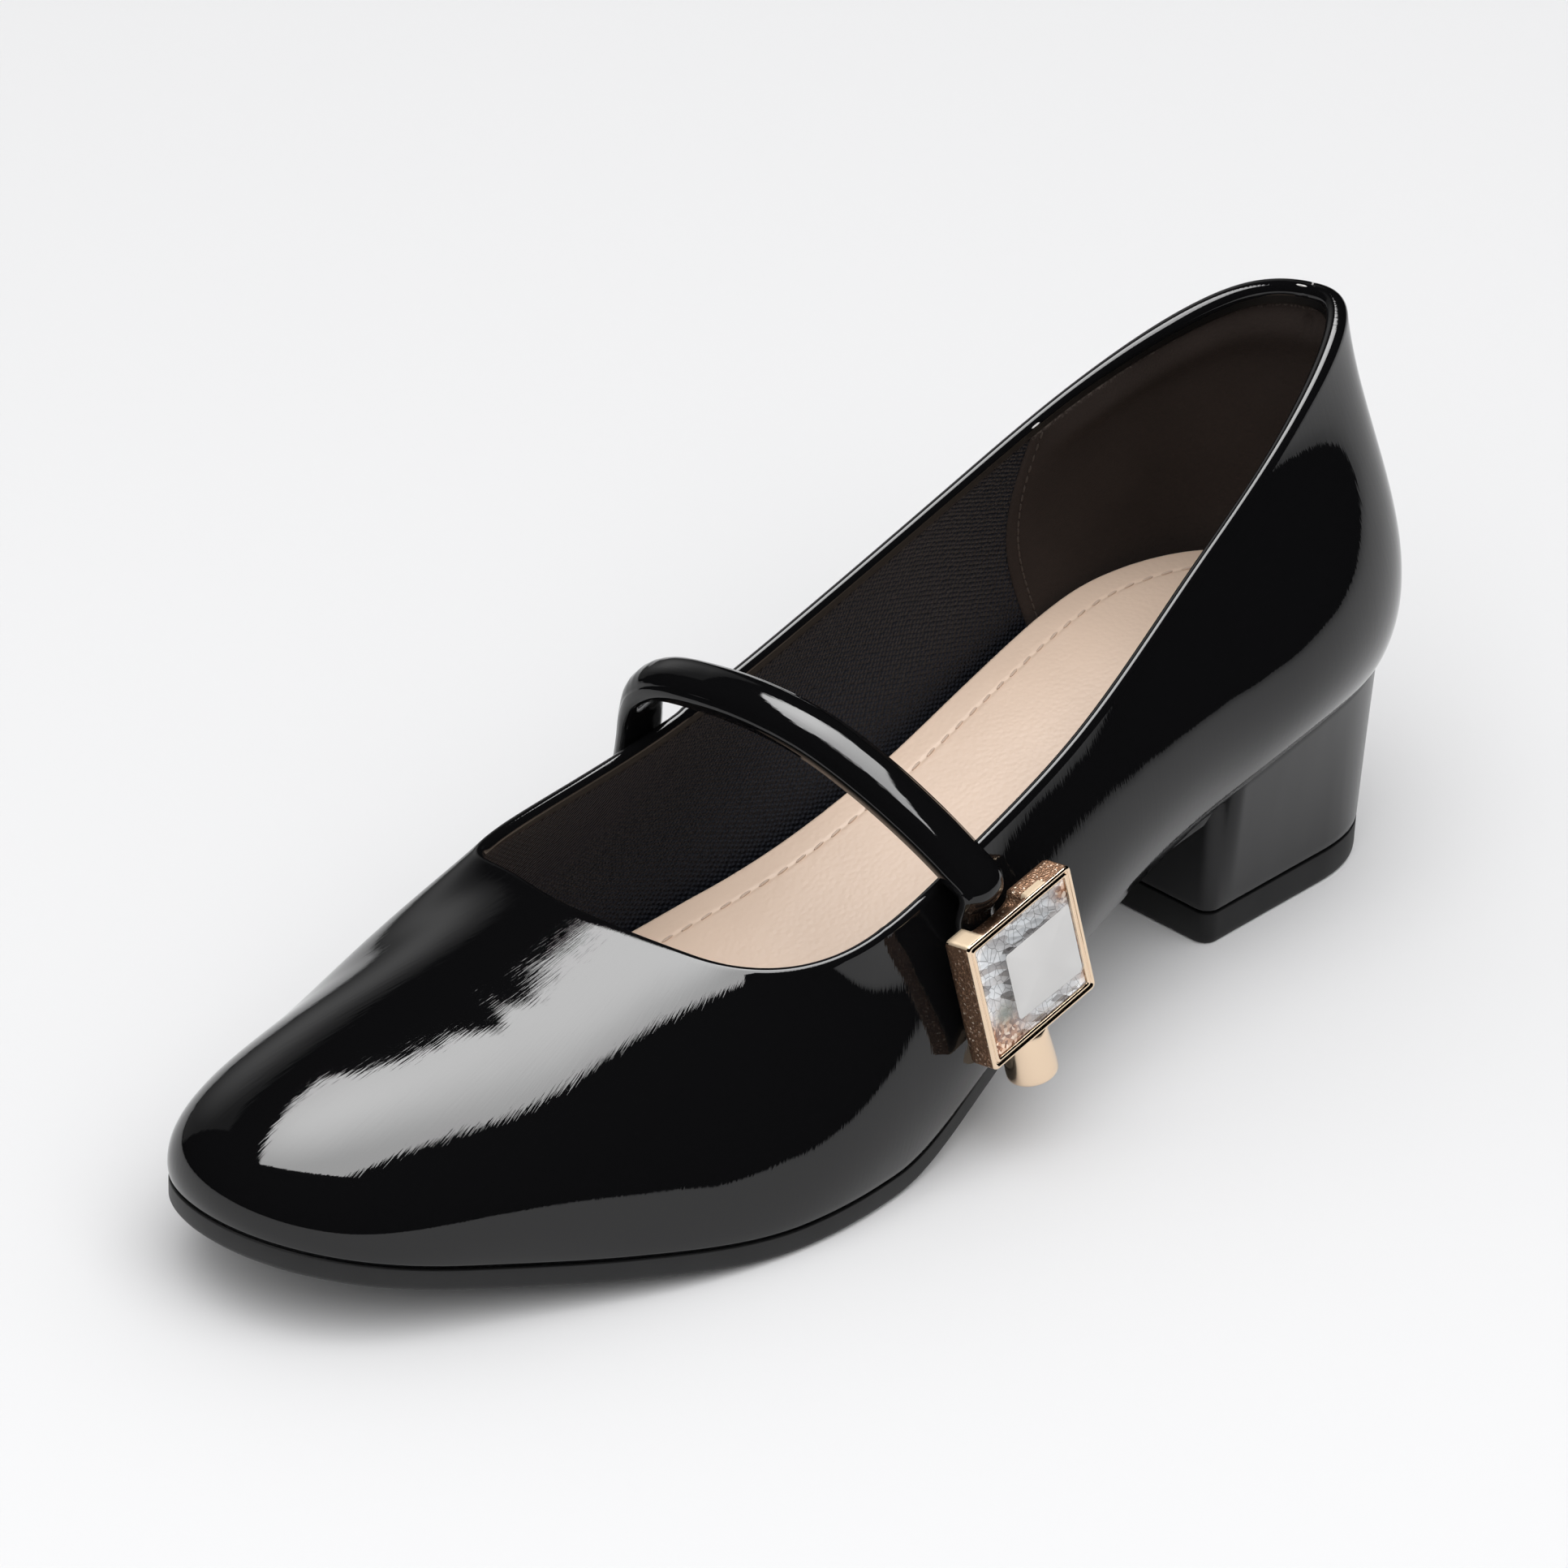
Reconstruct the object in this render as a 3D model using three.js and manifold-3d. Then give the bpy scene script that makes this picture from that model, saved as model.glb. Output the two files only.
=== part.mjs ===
// A left mary jane pump: square-toed vamp, low block heel, one rounded strap over the instep
// and a framed stone where the strap ends on the outer side.
// Millimetres. +X runs to the toe, +Y to the outer (lateral) side, +Z up.
// The origin is the middle of the heel's base, on the floor.
import * as THREE from "three";
import { mergeVertices } from "three/addons/utils/BufferGeometryUtils.js";
import Module from "manifold-3d";

const wasm = await Module();
wasm.setup();

// ---------- driving dimensions ----------
const LENGTH = 243; // of the feather edge, where the upper meets the sole, from back to tip
const BALL_WIDTH = 84; // of the feather edge at the joints
const HEEL_HEIGHT = 38.5; // of the feather edge at the back
const BACK_HEIGHT = 95; // of the collar at the back
const BACK_X = -30; // the back of the feather edge; the heel's middle is at 0
const GAP = 0.3; // between pieces that meet

const WALL = 1.8; // upper and lining together
const LASTING_MARGIN = 9; // the upper's edge turned in under the insole

const SOLE_THICKNESS = 4.1;
const HEEL = { back: -25, front: 24.8, halfWidth: 25.6, backRound: 22, cornerRound: 2.5, topPiece: 6 };
const HEEL_SEAT_INSET = 0.8; // the block stands this far inside the feather edge at its top
const TOP_PIECE_INSET = 0.3;

const INSOLE = { thickness: 2.2, sideGap: 0.5, lift: 0.4 };

const STRAP = {
  width: 9,
  thickness: 4.8,
  innerThickness: 3.6, // where it runs down the inner side
  tuckedThickness: 3.1, // behind the frame
  tail: 7.6, // behind the frame, from its top edge
  notchAhead: 2.7,
  endRound: 3.4,
};
const FRAME = {
  width: 25.2,
  height: 23.4,
  depth: 5.2,
  rim: 1.6,
  backPlate: 1.3,
  corner: 1.1,
  bevel: 0.5,
};
const FRAME_PLACE = { x: 91.3, y: 45.4, z: 34.4, yaw: 1.5, lean: 8.6, roll: 10 }; // front face, degrees
const STONE = { girdle: 1.3, crown: 2, cornerCut: 2.4, stepShare: 0.86, tableShare: 0.7 };
const STEM = { topRadius: 3.8, radius: 4.2, length: 9.8, ahead: 0.9, behindFace: 4.3, edge: 0.7 };

// ---------- the last, as a short table ----------
// One row for each section round the shoe, from the back along the outer side to the tip and
// home along the inner side. along and side place the feather edge: shares of LENGTH from the
// back, and of half of BALL_WIDTH outwards. topAlong, topSide and top place the topline, top as a
// share of BACK_HEIGHT. swell and rise shape the wall's foot, lead and drop its arrival at the
// topline, in millimetres: how far outwards, and how high or low, the section's handles stand.
const SECTIONS = [
  {
    name: "back", along: 0.0, side: -0.01, topAlong: 0.018, topSide: -0.02, top: 1.0,
    swell: 3.6, rise: 17, lead: 2.5, drop: 24.4,
  },
  {
    name: "outer heel corner", along: 0.026, side: 0.46, topAlong: 0.036, topSide: 0.22, top: 0.992,
    swell: 7, rise: 20.5, lead: 3, drop: 20,
  },
  {
    name: "outer seat", along: 0.12, side: 0.68, topAlong: 0.131, topSide: 0.427, top: 0.898,
    swell: 12, rise: 17, lead: 6, drop: 19,
  },
  {
    name: "outer breast", along: 0.243, side: 0.712, topAlong: 0.247, topSide: 0.545, top: 0.758,
    swell: 9.4, rise: 16.4, lead: 7.8, drop: 17.6,
  },
  {
    name: "outer waist", along: 0.387, side: 0.765, topAlong: 0.378, topSide: 0.69, top: 0.62,
    swell: 8.6, rise: 16.3, lead: 5.3, drop: 14.6,
  },
  {
    name: "outer instep", along: 0.531, side: 0.905, topAlong: 0.502, topSide: 0.755, top: 0.52,
    swell: 5.8, rise: 15.6, lead: 3.7, drop: 13.2,
  },
  {
    name: "outer joint", along: 0.654, side: 0.97, topAlong: 0.603, topSide: 0.765, top: 0.456,
    swell: 3.4, rise: 14.2, lead: 1.6, drop: 13.8,
  },
  {
    name: "outer vamp", along: 0.774, side: 0.81, topAlong: 0.66, topSide: 0.52, top: 0.436,
    swell: 1.6, rise: 16.5, lead: 13.5, drop: 11,
  },
  {
    name: "outer toe", along: 0.885, side: 0.505, topAlong: 0.679, topSide: 0.25, top: 0.44,
    swell: 4.5, rise: 18, lead: 28, drop: 8.4,
  },
  {
    name: "outer toe corner", along: 0.963, side: 0.225, topAlong: 0.688, topSide: 0.07, top: 0.447,
    swell: 2.4, rise: 16.6, lead: 32, drop: 8.4,
  },
  {
    name: "tip", along: 1.0, side: -0.18, topAlong: 0.694, topSide: -0.1, top: 0.452,
    swell: 3, rise: 17, lead: 43, drop: 9.8,
  },
  {
    name: "inner toe corner", along: 0.983, side: -0.61, topAlong: 0.697, topSide: -0.31, top: 0.454,
    swell: 3.6, rise: 17, lead: 38, drop: 8,
  },
  {
    name: "inner toe", along: 0.915, side: -0.826, topAlong: 0.695, topSide: -0.525, top: 0.456,
    swell: 2.5, rise: 14.8, lead: 24.5, drop: 8.2,
  },
  {
    name: "inner vamp", along: 0.803, side: -0.98, topAlong: 0.684, topSide: -0.735, top: 0.456,
    swell: 3, rise: 14.8, lead: 12, drop: 8,
  },
  {
    name: "inner joint", along: 0.691, side: -1.012, topAlong: 0.606, topSide: -0.765, top: 0.474,
    swell: 3, rise: 15, lead: 5, drop: 12,
  },
  {
    name: "inner instep", along: 0.556, side: -0.82, topAlong: 0.508, topSide: -0.722, top: 0.521,
    swell: 3, rise: 14, lead: 3, drop: 14,
  },
  {
    name: "inner waist", along: 0.412, side: -0.575, topAlong: 0.385, topSide: -0.692, top: 0.612,
    swell: 3, rise: 14, lead: 2.2, drop: 16,
  },
  {
    name: "inner breast", along: 0.247, side: -0.572, topAlong: 0.251, topSide: -0.632, top: 0.74,
    swell: 3.2, rise: 15, lead: 3.2, drop: 18,
  },
  {
    name: "inner seat", along: 0.124, side: -0.61, topAlong: 0.134, topSide: -0.53, top: 0.866,
    swell: 4.2, rise: 17, lead: 5, drop: 20,
  },
  {
    name: "inner heel corner", along: 0.028, side: -0.42, topAlong: 0.042, topSide: -0.3, top: 0.972,
    swell: 5, rise: 18, lead: 4.5, drop: 22,
  },
];

// Height of the feather edge along the shoe, as shares of HEEL_HEIGHT, by distance from the
// heel's middle. Two equal rows keep the tread flat under the joints.
const BOTTOM = [
  { x: -36, height: 0.96 },
  { x: -30, height: 0.955 },
  { x: 0, height: 0.915 },
  { x: 30, height: 0.785 },
  { x: 60, height: 0.56 },
  { x: 90, height: 0.29 },
  { x: 115, height: 4.4 / HEEL_HEIGHT },
  { x: 135, height: 4.4 / HEEL_HEIGHT },
  { x: 165, height: 0.2 },
  { x: 190, height: 0.305 },
  { x: 213, height: 0.44 },
  { x: 220, height: 0.48 },
];

// The strap's centre line, from its end at the inner feather edge, over the instep and down to
// the frame. turn is how far its width is turned in plan from the shoe's length, and tilt how far
// it is tipped down to the toe, in degrees.
const STRAP_ROUTE = [
  { x: 98.1, y: -36.4, z: 10.5, turn: -19, tilt: 0 },
  { x: 98.2, y: -37.3, z: 17, turn: -18, tilt: 0 },
  { x: 98.2, y: -37.6, z: 23, turn: -15, tilt: 0 },
  { x: 98.2, y: -37.3, z: 29, turn: -12, tilt: 0 },
  { x: 98.1, y: -36.5, z: 35, turn: -9, tilt: 0 },
  { x: 98.1, y: -35.4, z: 41, turn: -6, tilt: 0 },
  { x: 98.4, y: -34.5, z: 47, turn: -3, tilt: 2 },
  { x: 99.1, y: -33.4, z: 52, turn: 0, tilt: 6 },
  { x: 100, y: -30.9, z: 57, turn: 3, tilt: 11 },
  { x: 100.4, y: -25.8, z: 60.8, turn: 5, tilt: 15 },
  { x: 100.1, y: -16, z: 63, turn: 5, tilt: 18 },
  { x: 99.3, y: -5, z: 63.6, turn: 5, tilt: 18 },
  { x: 98.5, y: 5.4, z: 62.6, turn: 5, tilt: 18 },
  { x: 97.7, y: 15.8, z: 59.7, turn: 5, tilt: 17 },
  { x: 96.9, y: 26.2, z: 55.5, turn: 5, tilt: 14 },
  { x: 96.3, y: 34.4, z: 51.3, turn: 5, tilt: 11 },
  { x: 95.9, y: 38.5, z: 48.4, turn: 5, tilt: 10 },
];
const TAIL_TURN = 5;

// ---------- curves ----------
// Periodic cubic spline through rows of numbers, its knots spaced as the feather points are.
function periodicSpline(knots, rows) {
  const n = rows.length;
  const h = knots.map((k, i) => (i + 1 < n ? knots[i + 1] : 1) - k);
  const system = rows.map((row, i) => {
    const before = h[(i + n - 1) % n];
    const line = new Array(n).fill(0);
    line[(i + n - 1) % n] = before;
    line[i] = 2 * (before + h[i]);
    line[(i + 1) % n] = h[i];
    const last = rows[(i + n - 1) % n];
    const next = rows[(i + 1) % n];
    return [...line, ...row.map((v, k) => 6 * ((next[k] - v) / h[i] - (v - last[k]) / before))];
  });
  for (let i = 0; i < n; i++) {
    const pivot = system[i][i];
    system[i] = system[i].map((v) => v / pivot);
    system.forEach((line, j) => {
      if (j !== i && line[i] !== 0) system[j] = line.map((v, k) => v - line[i] * system[i][k]);
    });
  }
  const bend = system.map((line) => line.slice(n));
  return (u) => {
    const w = ((u % 1) + 1) % 1;
    let i = n - 1;
    while (i > 0 && knots[i] > w) i--;
    const j = (i + 1) % n;
    const b = (w - knots[i]) / h[i];
    const a = 1 - b;
    const curved = (k) => ((a ** 3 - a) * bend[i][k] + (b ** 3 - b) * bend[j][k]) * (h[i] ** 2 / 6);
    return rows[i].map((v, k) => a * v + b * rows[j][k] + curved(k));
  };
}

// Monotone cubic through (x, height) rows, flat where two heights are equal.
function heightAlong(rows) {
  const slope = rows.slice(1).map((r, i) => (r.height - rows[i].height) / (r.x - rows[i].x));
  const tangent = rows.map((_, i) => {
    if (i === 0 || i === rows.length - 1) return slope[Math.min(i, slope.length - 1)];
    const [a, b] = [slope[i - 1], slope[i]];
    return a * b <= 0 ? 0 : (2 * a * b) / (a + b);
  });
  return (x) => {
    let i = rows.length - 2;
    while (i > 0 && rows[i].x > x) i--;
    const d = rows[i + 1].x - rows[i].x;
    const t = THREE.MathUtils.clamp((x - rows[i].x) / d, 0, 1);
    return (
      rows[i].height * (1 + 2 * t) * (1 - t) ** 2 +
      tangent[i] * d * t * (1 - t) ** 2 +
      rows[i + 1].height * t * t * (3 - 2 * t) +
      tangent[i + 1] * d * t * t * (t - 1)
    );
  };
}

const bottomShare = heightAlong(BOTTOM);
const featherHeight = (x) => HEEL_HEIGHT * bottomShare(x);

const lastRows = SECTIONS.map((s) => [
  BACK_X + s.along * LENGTH,
  (s.side * BALL_WIDTH) / 2,
  BACK_X + s.topAlong * LENGTH,
  (s.topSide * BALL_WIDTH) / 2,
  s.top * BACK_HEIGHT,
  s.swell,
  s.rise,
  s.lead,
  s.drop,
]);
const spans = lastRows.map((r, i) => {
  const next = lastRows[(i + 1) % lastRows.length];
  return Math.hypot(next[0] - r[0], next[1] - r[1]);
});
const girth = spans.reduce((a, b) => a + b);
const lastKnots = spans.map((_, i) => spans.slice(0, i).reduce((a, b) => a + b, 0) / girth);
const lastSection = periodicSpline(lastKnots, lastRows);

// The feather edge at u, moved outwards in plan by `out`, and the plan normal there.
function featherEdge(u, out = 0) {
  const step = 1e-4;
  const [x, y] = lastSection(u);
  const [ax, ay] = lastSection(u - step);
  const [bx, by] = lastSection(u + step);
  const run = Math.hypot(bx - ax, by - ay);
  const normal = new THREE.Vector2(-(by - ay) / run, (bx - ax) / run);
  const px = x + normal.x * out;
  return { point: new THREE.Vector3(px, y + normal.y * out, featherHeight(px)), normal };
}

// The upper's outer face: a cubic Bezier in each section, from the feather edge to the topline.
// Its foot leaves along the edge's plan normal. Its top arrives along the normal on the quarters
// and from the feather edge over the vamp.
const VAMP_FROM = 8; // plan distance from feather edge to topline where the vamp's rule starts
const VAMP_BLEND = 20;
function outerFace(u) {
  const { point: foot, normal } = featherEdge(u);
  const [, , tx, ty, tz, swell, rise, lead, drop] = lastSection(u);
  const reach = new THREE.Vector2(foot.x - tx, foot.y - ty);
  const share = THREE.MathUtils.clamp((reach.length() - VAMP_FROM) / VAMP_BLEND, 0, 1);
  const away = normal.clone().multiplyScalar(1 - share);
  away.add(reach.normalize().multiplyScalar(share)).normalize();
  return new THREE.CubicBezierCurve3(
    foot,
    new THREE.Vector3(foot.x + normal.x * swell, foot.y + normal.y * swell, foot.z + rise),
    new THREE.Vector3(tx + away.x * lead, ty + away.y * lead, tz - drop),
    new THREE.Vector3(tx, ty, tz),
  );
}

// ---------- mesh helpers ----------
// Closed geometry from vertices and triangles, its faces turned outwards.
function closedGeometry(points, triangles) {
  let volume = 0;
  for (const [a, b, c] of triangles) volume += points[a].dot(points[b].clone().cross(points[c]));
  const turned = volume < 0 ? triangles.map(([a, b, c]) => [a, c, b]) : triangles;
  const geometry = new THREE.BufferGeometry().setFromPoints(points);
  geometry.setIndex(turned.flat());
  geometry.computeVertexNormals();
  return geometry;
}

// A tube through rings of equal length. It closes on itself, or ends in a fan at each end.
function loft(rings, ringClosesLoop) {
  const n = rings[0].length;
  const points = rings.flat();
  const triangles = [];
  const last = ringClosesLoop ? rings.length : rings.length - 1;
  for (let i = 0; i < last; i++) {
    const here = i * n;
    const next = ((i + 1) % rings.length) * n;
    for (let j = 0; j < n; j++) {
      const k = (j + 1) % n;
      triangles.push([here + j, here + k, next + k], [here + j, next + k, next + j]);
    }
  }
  if (!ringClosesLoop) {
    for (const [ring, base, flip] of [[rings[0], 0, true], [rings.at(-1), (rings.length - 1) * n, false]]) {
      const middle = ring.reduce((sum, p) => sum.add(p), new THREE.Vector3()).divideScalar(n);
      points.push(middle);
      for (let j = 0; j < n; j++) {
        const pair = [base + j, base + ((j + 1) % n)];
        if (flip) pair.reverse();
        triangles.push([...pair, points.length - 1]);
      }
    }
  }
  return closedGeometry(points, triangles);
}

// A geometry as a manifold solid, and back.
function solid(geometry) {
  const bare = geometry.clone();
  bare.deleteAttribute("normal");
  bare.deleteAttribute("uv");
  const merged = mergeVertices(bare.index ? bare.toNonIndexed() : bare, 1e-4);
  return new wasm.Manifold(
    new wasm.Mesh({
      numProp: 3,
      vertProperties: merged.attributes.position.array,
      triVerts: new Uint32Array(merged.index.array),
    }),
  );
}
function geometryOf(made) {
  const mesh = made.getMesh();
  const geometry = new THREE.BufferGeometry();
  geometry.setAttribute("position", new THREE.BufferAttribute(new Float32Array(mesh.vertProperties), 3));
  geometry.setIndex(new THREE.BufferAttribute(mesh.triVerts, 1));
  geometry.computeVertexNormals();
  return geometry;
}

// A plan outline carried straight up from one height to another.
function planPrism(outline, low, high) {
  const geometry = new THREE.ExtrudeGeometry(new THREE.Shape(outline), {
    depth: high - low,
    bevelEnabled: false,
  });
  return solid(geometry.translate(0, 0, low));
}

const CLEAR = 20; // how far a cutting solid stands past what it cuts

// Everything between two heights that depend on x, as wide as the shoe.
const SLAB_STEPS = 48;
function heightSlab(from, to, low, high) {
  const xs = Array.from({ length: SLAB_STEPS + 1 }, (_, i) => from + ((to - from) * i) / SLAB_STEPS);
  const outline = [...xs.map((x) => [x, low(x)]), ...xs.reverse().map((x) => [x, high(x)])];
  const shape = new THREE.Shape(outline.map(([x, z]) => new THREE.Vector2(x, z)));
  const geometry = new THREE.ExtrudeGeometry(shape, { depth: BALL_WIDTH * 2, bevelEnabled: false });
  geometry.rotateX(Math.PI / 2);
  return solid(geometry.translate(0, BALL_WIDTH, 0));
}

// The feather edge's plan outline, moved outwards by a distance that may depend on x.
function featherOutline(out, steps) {
  return Array.from({ length: steps }, (_, i) => {
    const x = lastSection(i / steps)[0];
    const { point } = featherEdge(i / steps, out(x));
    return new THREE.Vector2(point.x, point.y);
  });
}

// ---------- pieces ----------
const STATIONS = 100;
const WALL_STEPS = 12;
const RIM_RISE = 0.5; // of the topline's rounded edge
const FOOT_SHARE = 0.6; // of the wall's thickness: how far up the inner face begins

// A wall round the foot with its lasting margin, open at the collar and underneath.
function makeUpper() {
  const curves = Array.from({ length: STATIONS }, (_, i) => outerFace(i / STATIONS));
  const outward = (i, v) => {
    const e = 1e-3;
    const up = curves[i].getPoint(Math.min(v + e, 1)).sub(curves[i].getPoint(Math.max(v - e, 0)));
    const u = i / STATIONS;
    const round = outerFace(u + e).getPoint(v).sub(outerFace(u - e).getPoint(v));
    return round.cross(up).normalize().negate();
  };
  const rings = curves.map((curve, i) => {
    const hem = featherEdge(i / STATIONS, -LASTING_MARGIN).point;
    const foot = (FOOT_SHARE * WALL) / (3 * lastSection(i / STATIONS)[6]);
    const outer = [];
    const inner = [];
    for (let j = 0; j <= WALL_STEPS; j++) {
      const v = j / WALL_STEPS;
      outer.push(curve.getPoint(v));
      const w = foot + (1 - foot) * v;
      inner.push(curve.getPoint(w).addScaledVector(outward(i, w), -WALL));
    }
    const rim = outer.at(-1).clone().lerp(inner.at(-1), 0.5).add(new THREE.Vector3(0, 0, RIM_RISE));
    const hemTop = hem.clone().add(new THREE.Vector3(0, 0, WALL));
    return [hem, ...outer, rim, ...inner.reverse(), hemTop];
  });
  return loft(rings, true);
}

// The tread: just inside the upper, drawn in at the waist, ending at the heel's breast.
const SOLE_INSET = 0.3;
const WAIST = { x: 50, spread: 28, inset: 3.6 };
function makeOutsole() {
  const edge = (x) => -SOLE_INSET - WAIST.inset * Math.exp(-(((x - WAIST.x) / WAIST.spread) ** 2));
  const top = (x) => featherHeight(x) - GAP;
  const plan = planPrism(featherOutline(edge, STATIONS), -CLEAR, HEEL_HEIGHT + CLEAR);
  const slab = heightSlab(HEEL.front + GAP, LENGTH, (x) => top(x) - SOLE_THICKNESS, top);
  return geometryOf(plan.intersect(slab));
}

// A D-shaped heel outline: straight sides and breast, a rounded back.
const HEEL_ROUNDNESS = 2.5;
const BACK_STEPS = 22;
function heelOutline(back, halfWidth, front) {
  const round = (a) => Math.sign(a) * Math.abs(a) ** (2 / HEEL_ROUNDNESS);
  const points = [];
  const r = HEEL.cornerRound;
  for (const share of [0, 0.5, 1]) {
    const turn = (share * Math.PI) / 2;
    points.push([front - r + r * Math.cos(turn), halfWidth - r + r * Math.sin(turn)]);
  }
  for (let i = 0; i <= BACK_STEPS; i++) {
    const turn = (Math.PI * i) / BACK_STEPS;
    const x = back + HEEL.backRound - HEEL.backRound * round(Math.sin(turn));
    points.push([x, halfWidth * round(Math.cos(turn))]);
  }
  for (const share of [0, 0.5, 1]) {
    const turn = (share * Math.PI) / 2;
    points.push([front - r + r * Math.sin(turn), -halfWidth + r - r * Math.cos(turn)]);
  }
  return points.map(([x, y]) => new THREE.Vector2(x, y));
}

// The block: the seat's outline at its top, drawn in to the D of its base, cut to the seat's curve.
const HEEL_RINGS = 6;
const SEAT_POINTS = 360;
const BREAST_RUN = 6; // behind the breast, over which the sides take up the seat's outline
function makeHeelBlock() {
  const base = heelOutline(HEEL.back, HEEL.halfWidth, HEEL.front);
  const seat = featherOutline(() => -HEEL_SEAT_INSET, SEAT_POINTS).filter((s) => s.x < LENGTH / 4);
  const low = HEEL.topPiece + GAP;
  const high = HEEL_HEIGHT;
  // the seat outline's point that the same ray from the heel's middle meets
  const seatPoint = (p) => {
    const facing = (s) => s.dot(p) / s.length();
    return seat.reduce((best, s) => (facing(s) > facing(best) ? s : best));
  };
  const rings = Array.from({ length: HEEL_RINGS }, (_, i) => {
    const share = i / (HEEL_RINGS - 1);
    return base.map((p) => {
      const s = seatPoint(p);
      const atSide = THREE.MathUtils.smoothstep(HEEL.front - p.x, 0, BREAST_RUN);
      const x = p.x + (Math.min(s.x, HEEL.front) - p.x) * share * atSide;
      return new THREE.Vector3(x, p.y + (s.y - p.y) * share * atSide, low + (high - low) * share);
    });
  });
  const seatHeight = (x) => featherHeight(x) - GAP;
  const under = heightSlab(HEEL.back - CLEAR, HEEL.front + CLEAR, () => -CLEAR, seatHeight);
  return geometryOf(solid(loft(rings, false)).intersect(under));
}

function makeTopPiece() {
  const inset = TOP_PIECE_INSET;
  const outline = heelOutline(HEEL.back + inset, HEEL.halfWidth - inset, HEEL.front - inset);
  return geometryOf(planPrism(outline, 0, HEEL.topPiece));
}

// The sock on its board: a thin pad over the lasting margin, thicker inside it. At the back it
// stops at the heel grip's foot.
const GRIP_FOOT = { from: 6, to: -24, inset: 2 };
function makeInsole() {
  const under = (x) => featherHeight(x) + WALL + INSOLE.lift;
  const top = (x) => under(x) + INSOLE.thickness;
  const { from, to, inset } = GRIP_FOOT;
  const grip = (x) => inset * THREE.MathUtils.smoothstep(from - x, 0, from - to);
  const padOutline = featherOutline((x) => -WALL - INSOLE.sideGap - grip(x), STATIONS);
  const fillerOutline = featherOutline(() => -LASTING_MARGIN - GAP, STATIONS);
  const pad = planPrism(padOutline, -CLEAR, HEEL_HEIGHT + CLEAR);
  const filler = planPrism(fillerOutline, -CLEAR, HEEL_HEIGHT + CLEAR);
  const thin = heightSlab(BACK_X - CLEAR, LENGTH, under, top);
  const thick = heightSlab(BACK_X - CLEAR, LENGTH, (x) => featherHeight(x) + GAP / 2, top);
  return geometryOf(pad.intersect(thin).add(filler.intersect(thick)));
}

const toRadians = THREE.MathUtils.degToRad;
function placeBuckle(object) {
  object.position.set(FRAME_PLACE.x, FRAME_PLACE.y, FRAME_PLACE.z);
  object.rotation.set(
    toRadians(FRAME_PLACE.lean),
    toRadians(FRAME_PLACE.roll),
    toRadians(FRAME_PLACE.yaw),
    "ZXY",
  );
  object.updateMatrixWorld(true);
  return object;
}

// The strap's rings. Its section is a D with a domed outer face. It is thinner down the inner
// side and behind the frame, and its ends are rounded off. grow adds clearance all round.
const STRAP_RINGS = 60;
const STRAP_SIDES = 14;
const PATH_POINTS = 800;
const INNER_RUN = { from: 34, to: 52 }; // millimetres along, where it thickens
const TUCK_RUN = 7; // before the tail, where it thins
const TAIL_ROWS = [
  { down: 0.6, out: 0.7 },
  { down: 4, out: 0 },
  { down: STRAP.tail, out: 0 },
];
const DOME = { across: 0.8, outer: 0.9, inner: 0.45 }; // powers of the section's round
const BLUNT = 0.55; // share of the width left at an end
function strapRings(grow) {
  const behind = placeBuckle(new THREE.Object3D());
  const depth = -FRAME.depth - GAP - STRAP.tuckedThickness / 2;
  const tail = TAIL_ROWS.map(({ down, out }) => {
    const local = new THREE.Vector3(STRAP.notchAhead, depth + out, FRAME.height / 2 - down);
    return { ...behind.localToWorld(local), turn: TAIL_TURN, tilt: FRAME_PLACE.roll };
  });
  const route = [...STRAP_ROUTE, ...tail];
  const path = new THREE.CatmullRomCurve3(
    route.map(({ x, y, z }) => new THREE.Vector3(x, y, z)),
    false,
    "centripetal",
  );
  path.arcLengthDivisions = PATH_POINTS;
  const total = path.getLength();
  const power = (v, p) => Math.sign(v) * Math.abs(v) ** p;
  const { lerp, smoothstep } = THREE.MathUtils;
  const rings = [];
  for (let i = 0; i <= STRAP_RINGS; i++) {
    const share = i / STRAP_RINGS;
    const centre = path.getPointAt(share);
    const along = path.getTangentAt(share);
    const row = path.getUtoTmapping(share) * (route.length - 1);
    const before = Math.min(Math.floor(row), route.length - 2);
    const between = (key) => toRadians(lerp(route[before][key], route[before + 1][key], row - before));
    const [turn, tilt] = [between("turn"), between("tilt")];
    const wide = new THREE.Vector3(Math.cos(turn), Math.sin(turn), -Math.sin(tilt));
    wide.addScaledVector(along, -wide.dot(along)).normalize();
    const out = along.clone().cross(wide).normalize().negate();
    const left = (1 - share) * total;
    const tucked = 1 - smoothstep(left, STRAP.tail, STRAP.tail + TUCK_RUN);
    const inner = 1 - smoothstep(share * total, INNER_RUN.from, INNER_RUN.to);
    const body = lerp(STRAP.thickness, STRAP.innerThickness, inner);
    const thick = lerp(body, STRAP.tuckedThickness, tucked) + 2 * grow;
    centre.addScaledVector(out, ((STRAP.innerThickness - STRAP.thickness) / 2) * inner);
    const fromEnd = Math.min(share * total, left) / STRAP.endRound;
    const rounded = grow === 0 && fromEnd < 1;
    const taper = rounded ? BLUNT + (1 - BLUNT) * Math.sqrt(1 - (1 - fromEnd) ** 2) : 1;
    const ring = [];
    for (let j = 0; j < STRAP_SIDES; j++) {
      const angle = (2 * Math.PI * j) / STRAP_SIDES;
      const [c, s] = [Math.cos(angle), Math.sin(angle)];
      const a = (STRAP.width / 2 + grow) * power(c, DOME.across) * taper;
      const b = (thick / 2) * power(s, s > 0 ? DOME.outer : DOME.inner);
      ring.push(centre.clone().addScaledVector(wide, a).addScaledVector(out, b));
    }
    rings.push(ring);
  }
  return rings;
}

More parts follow.
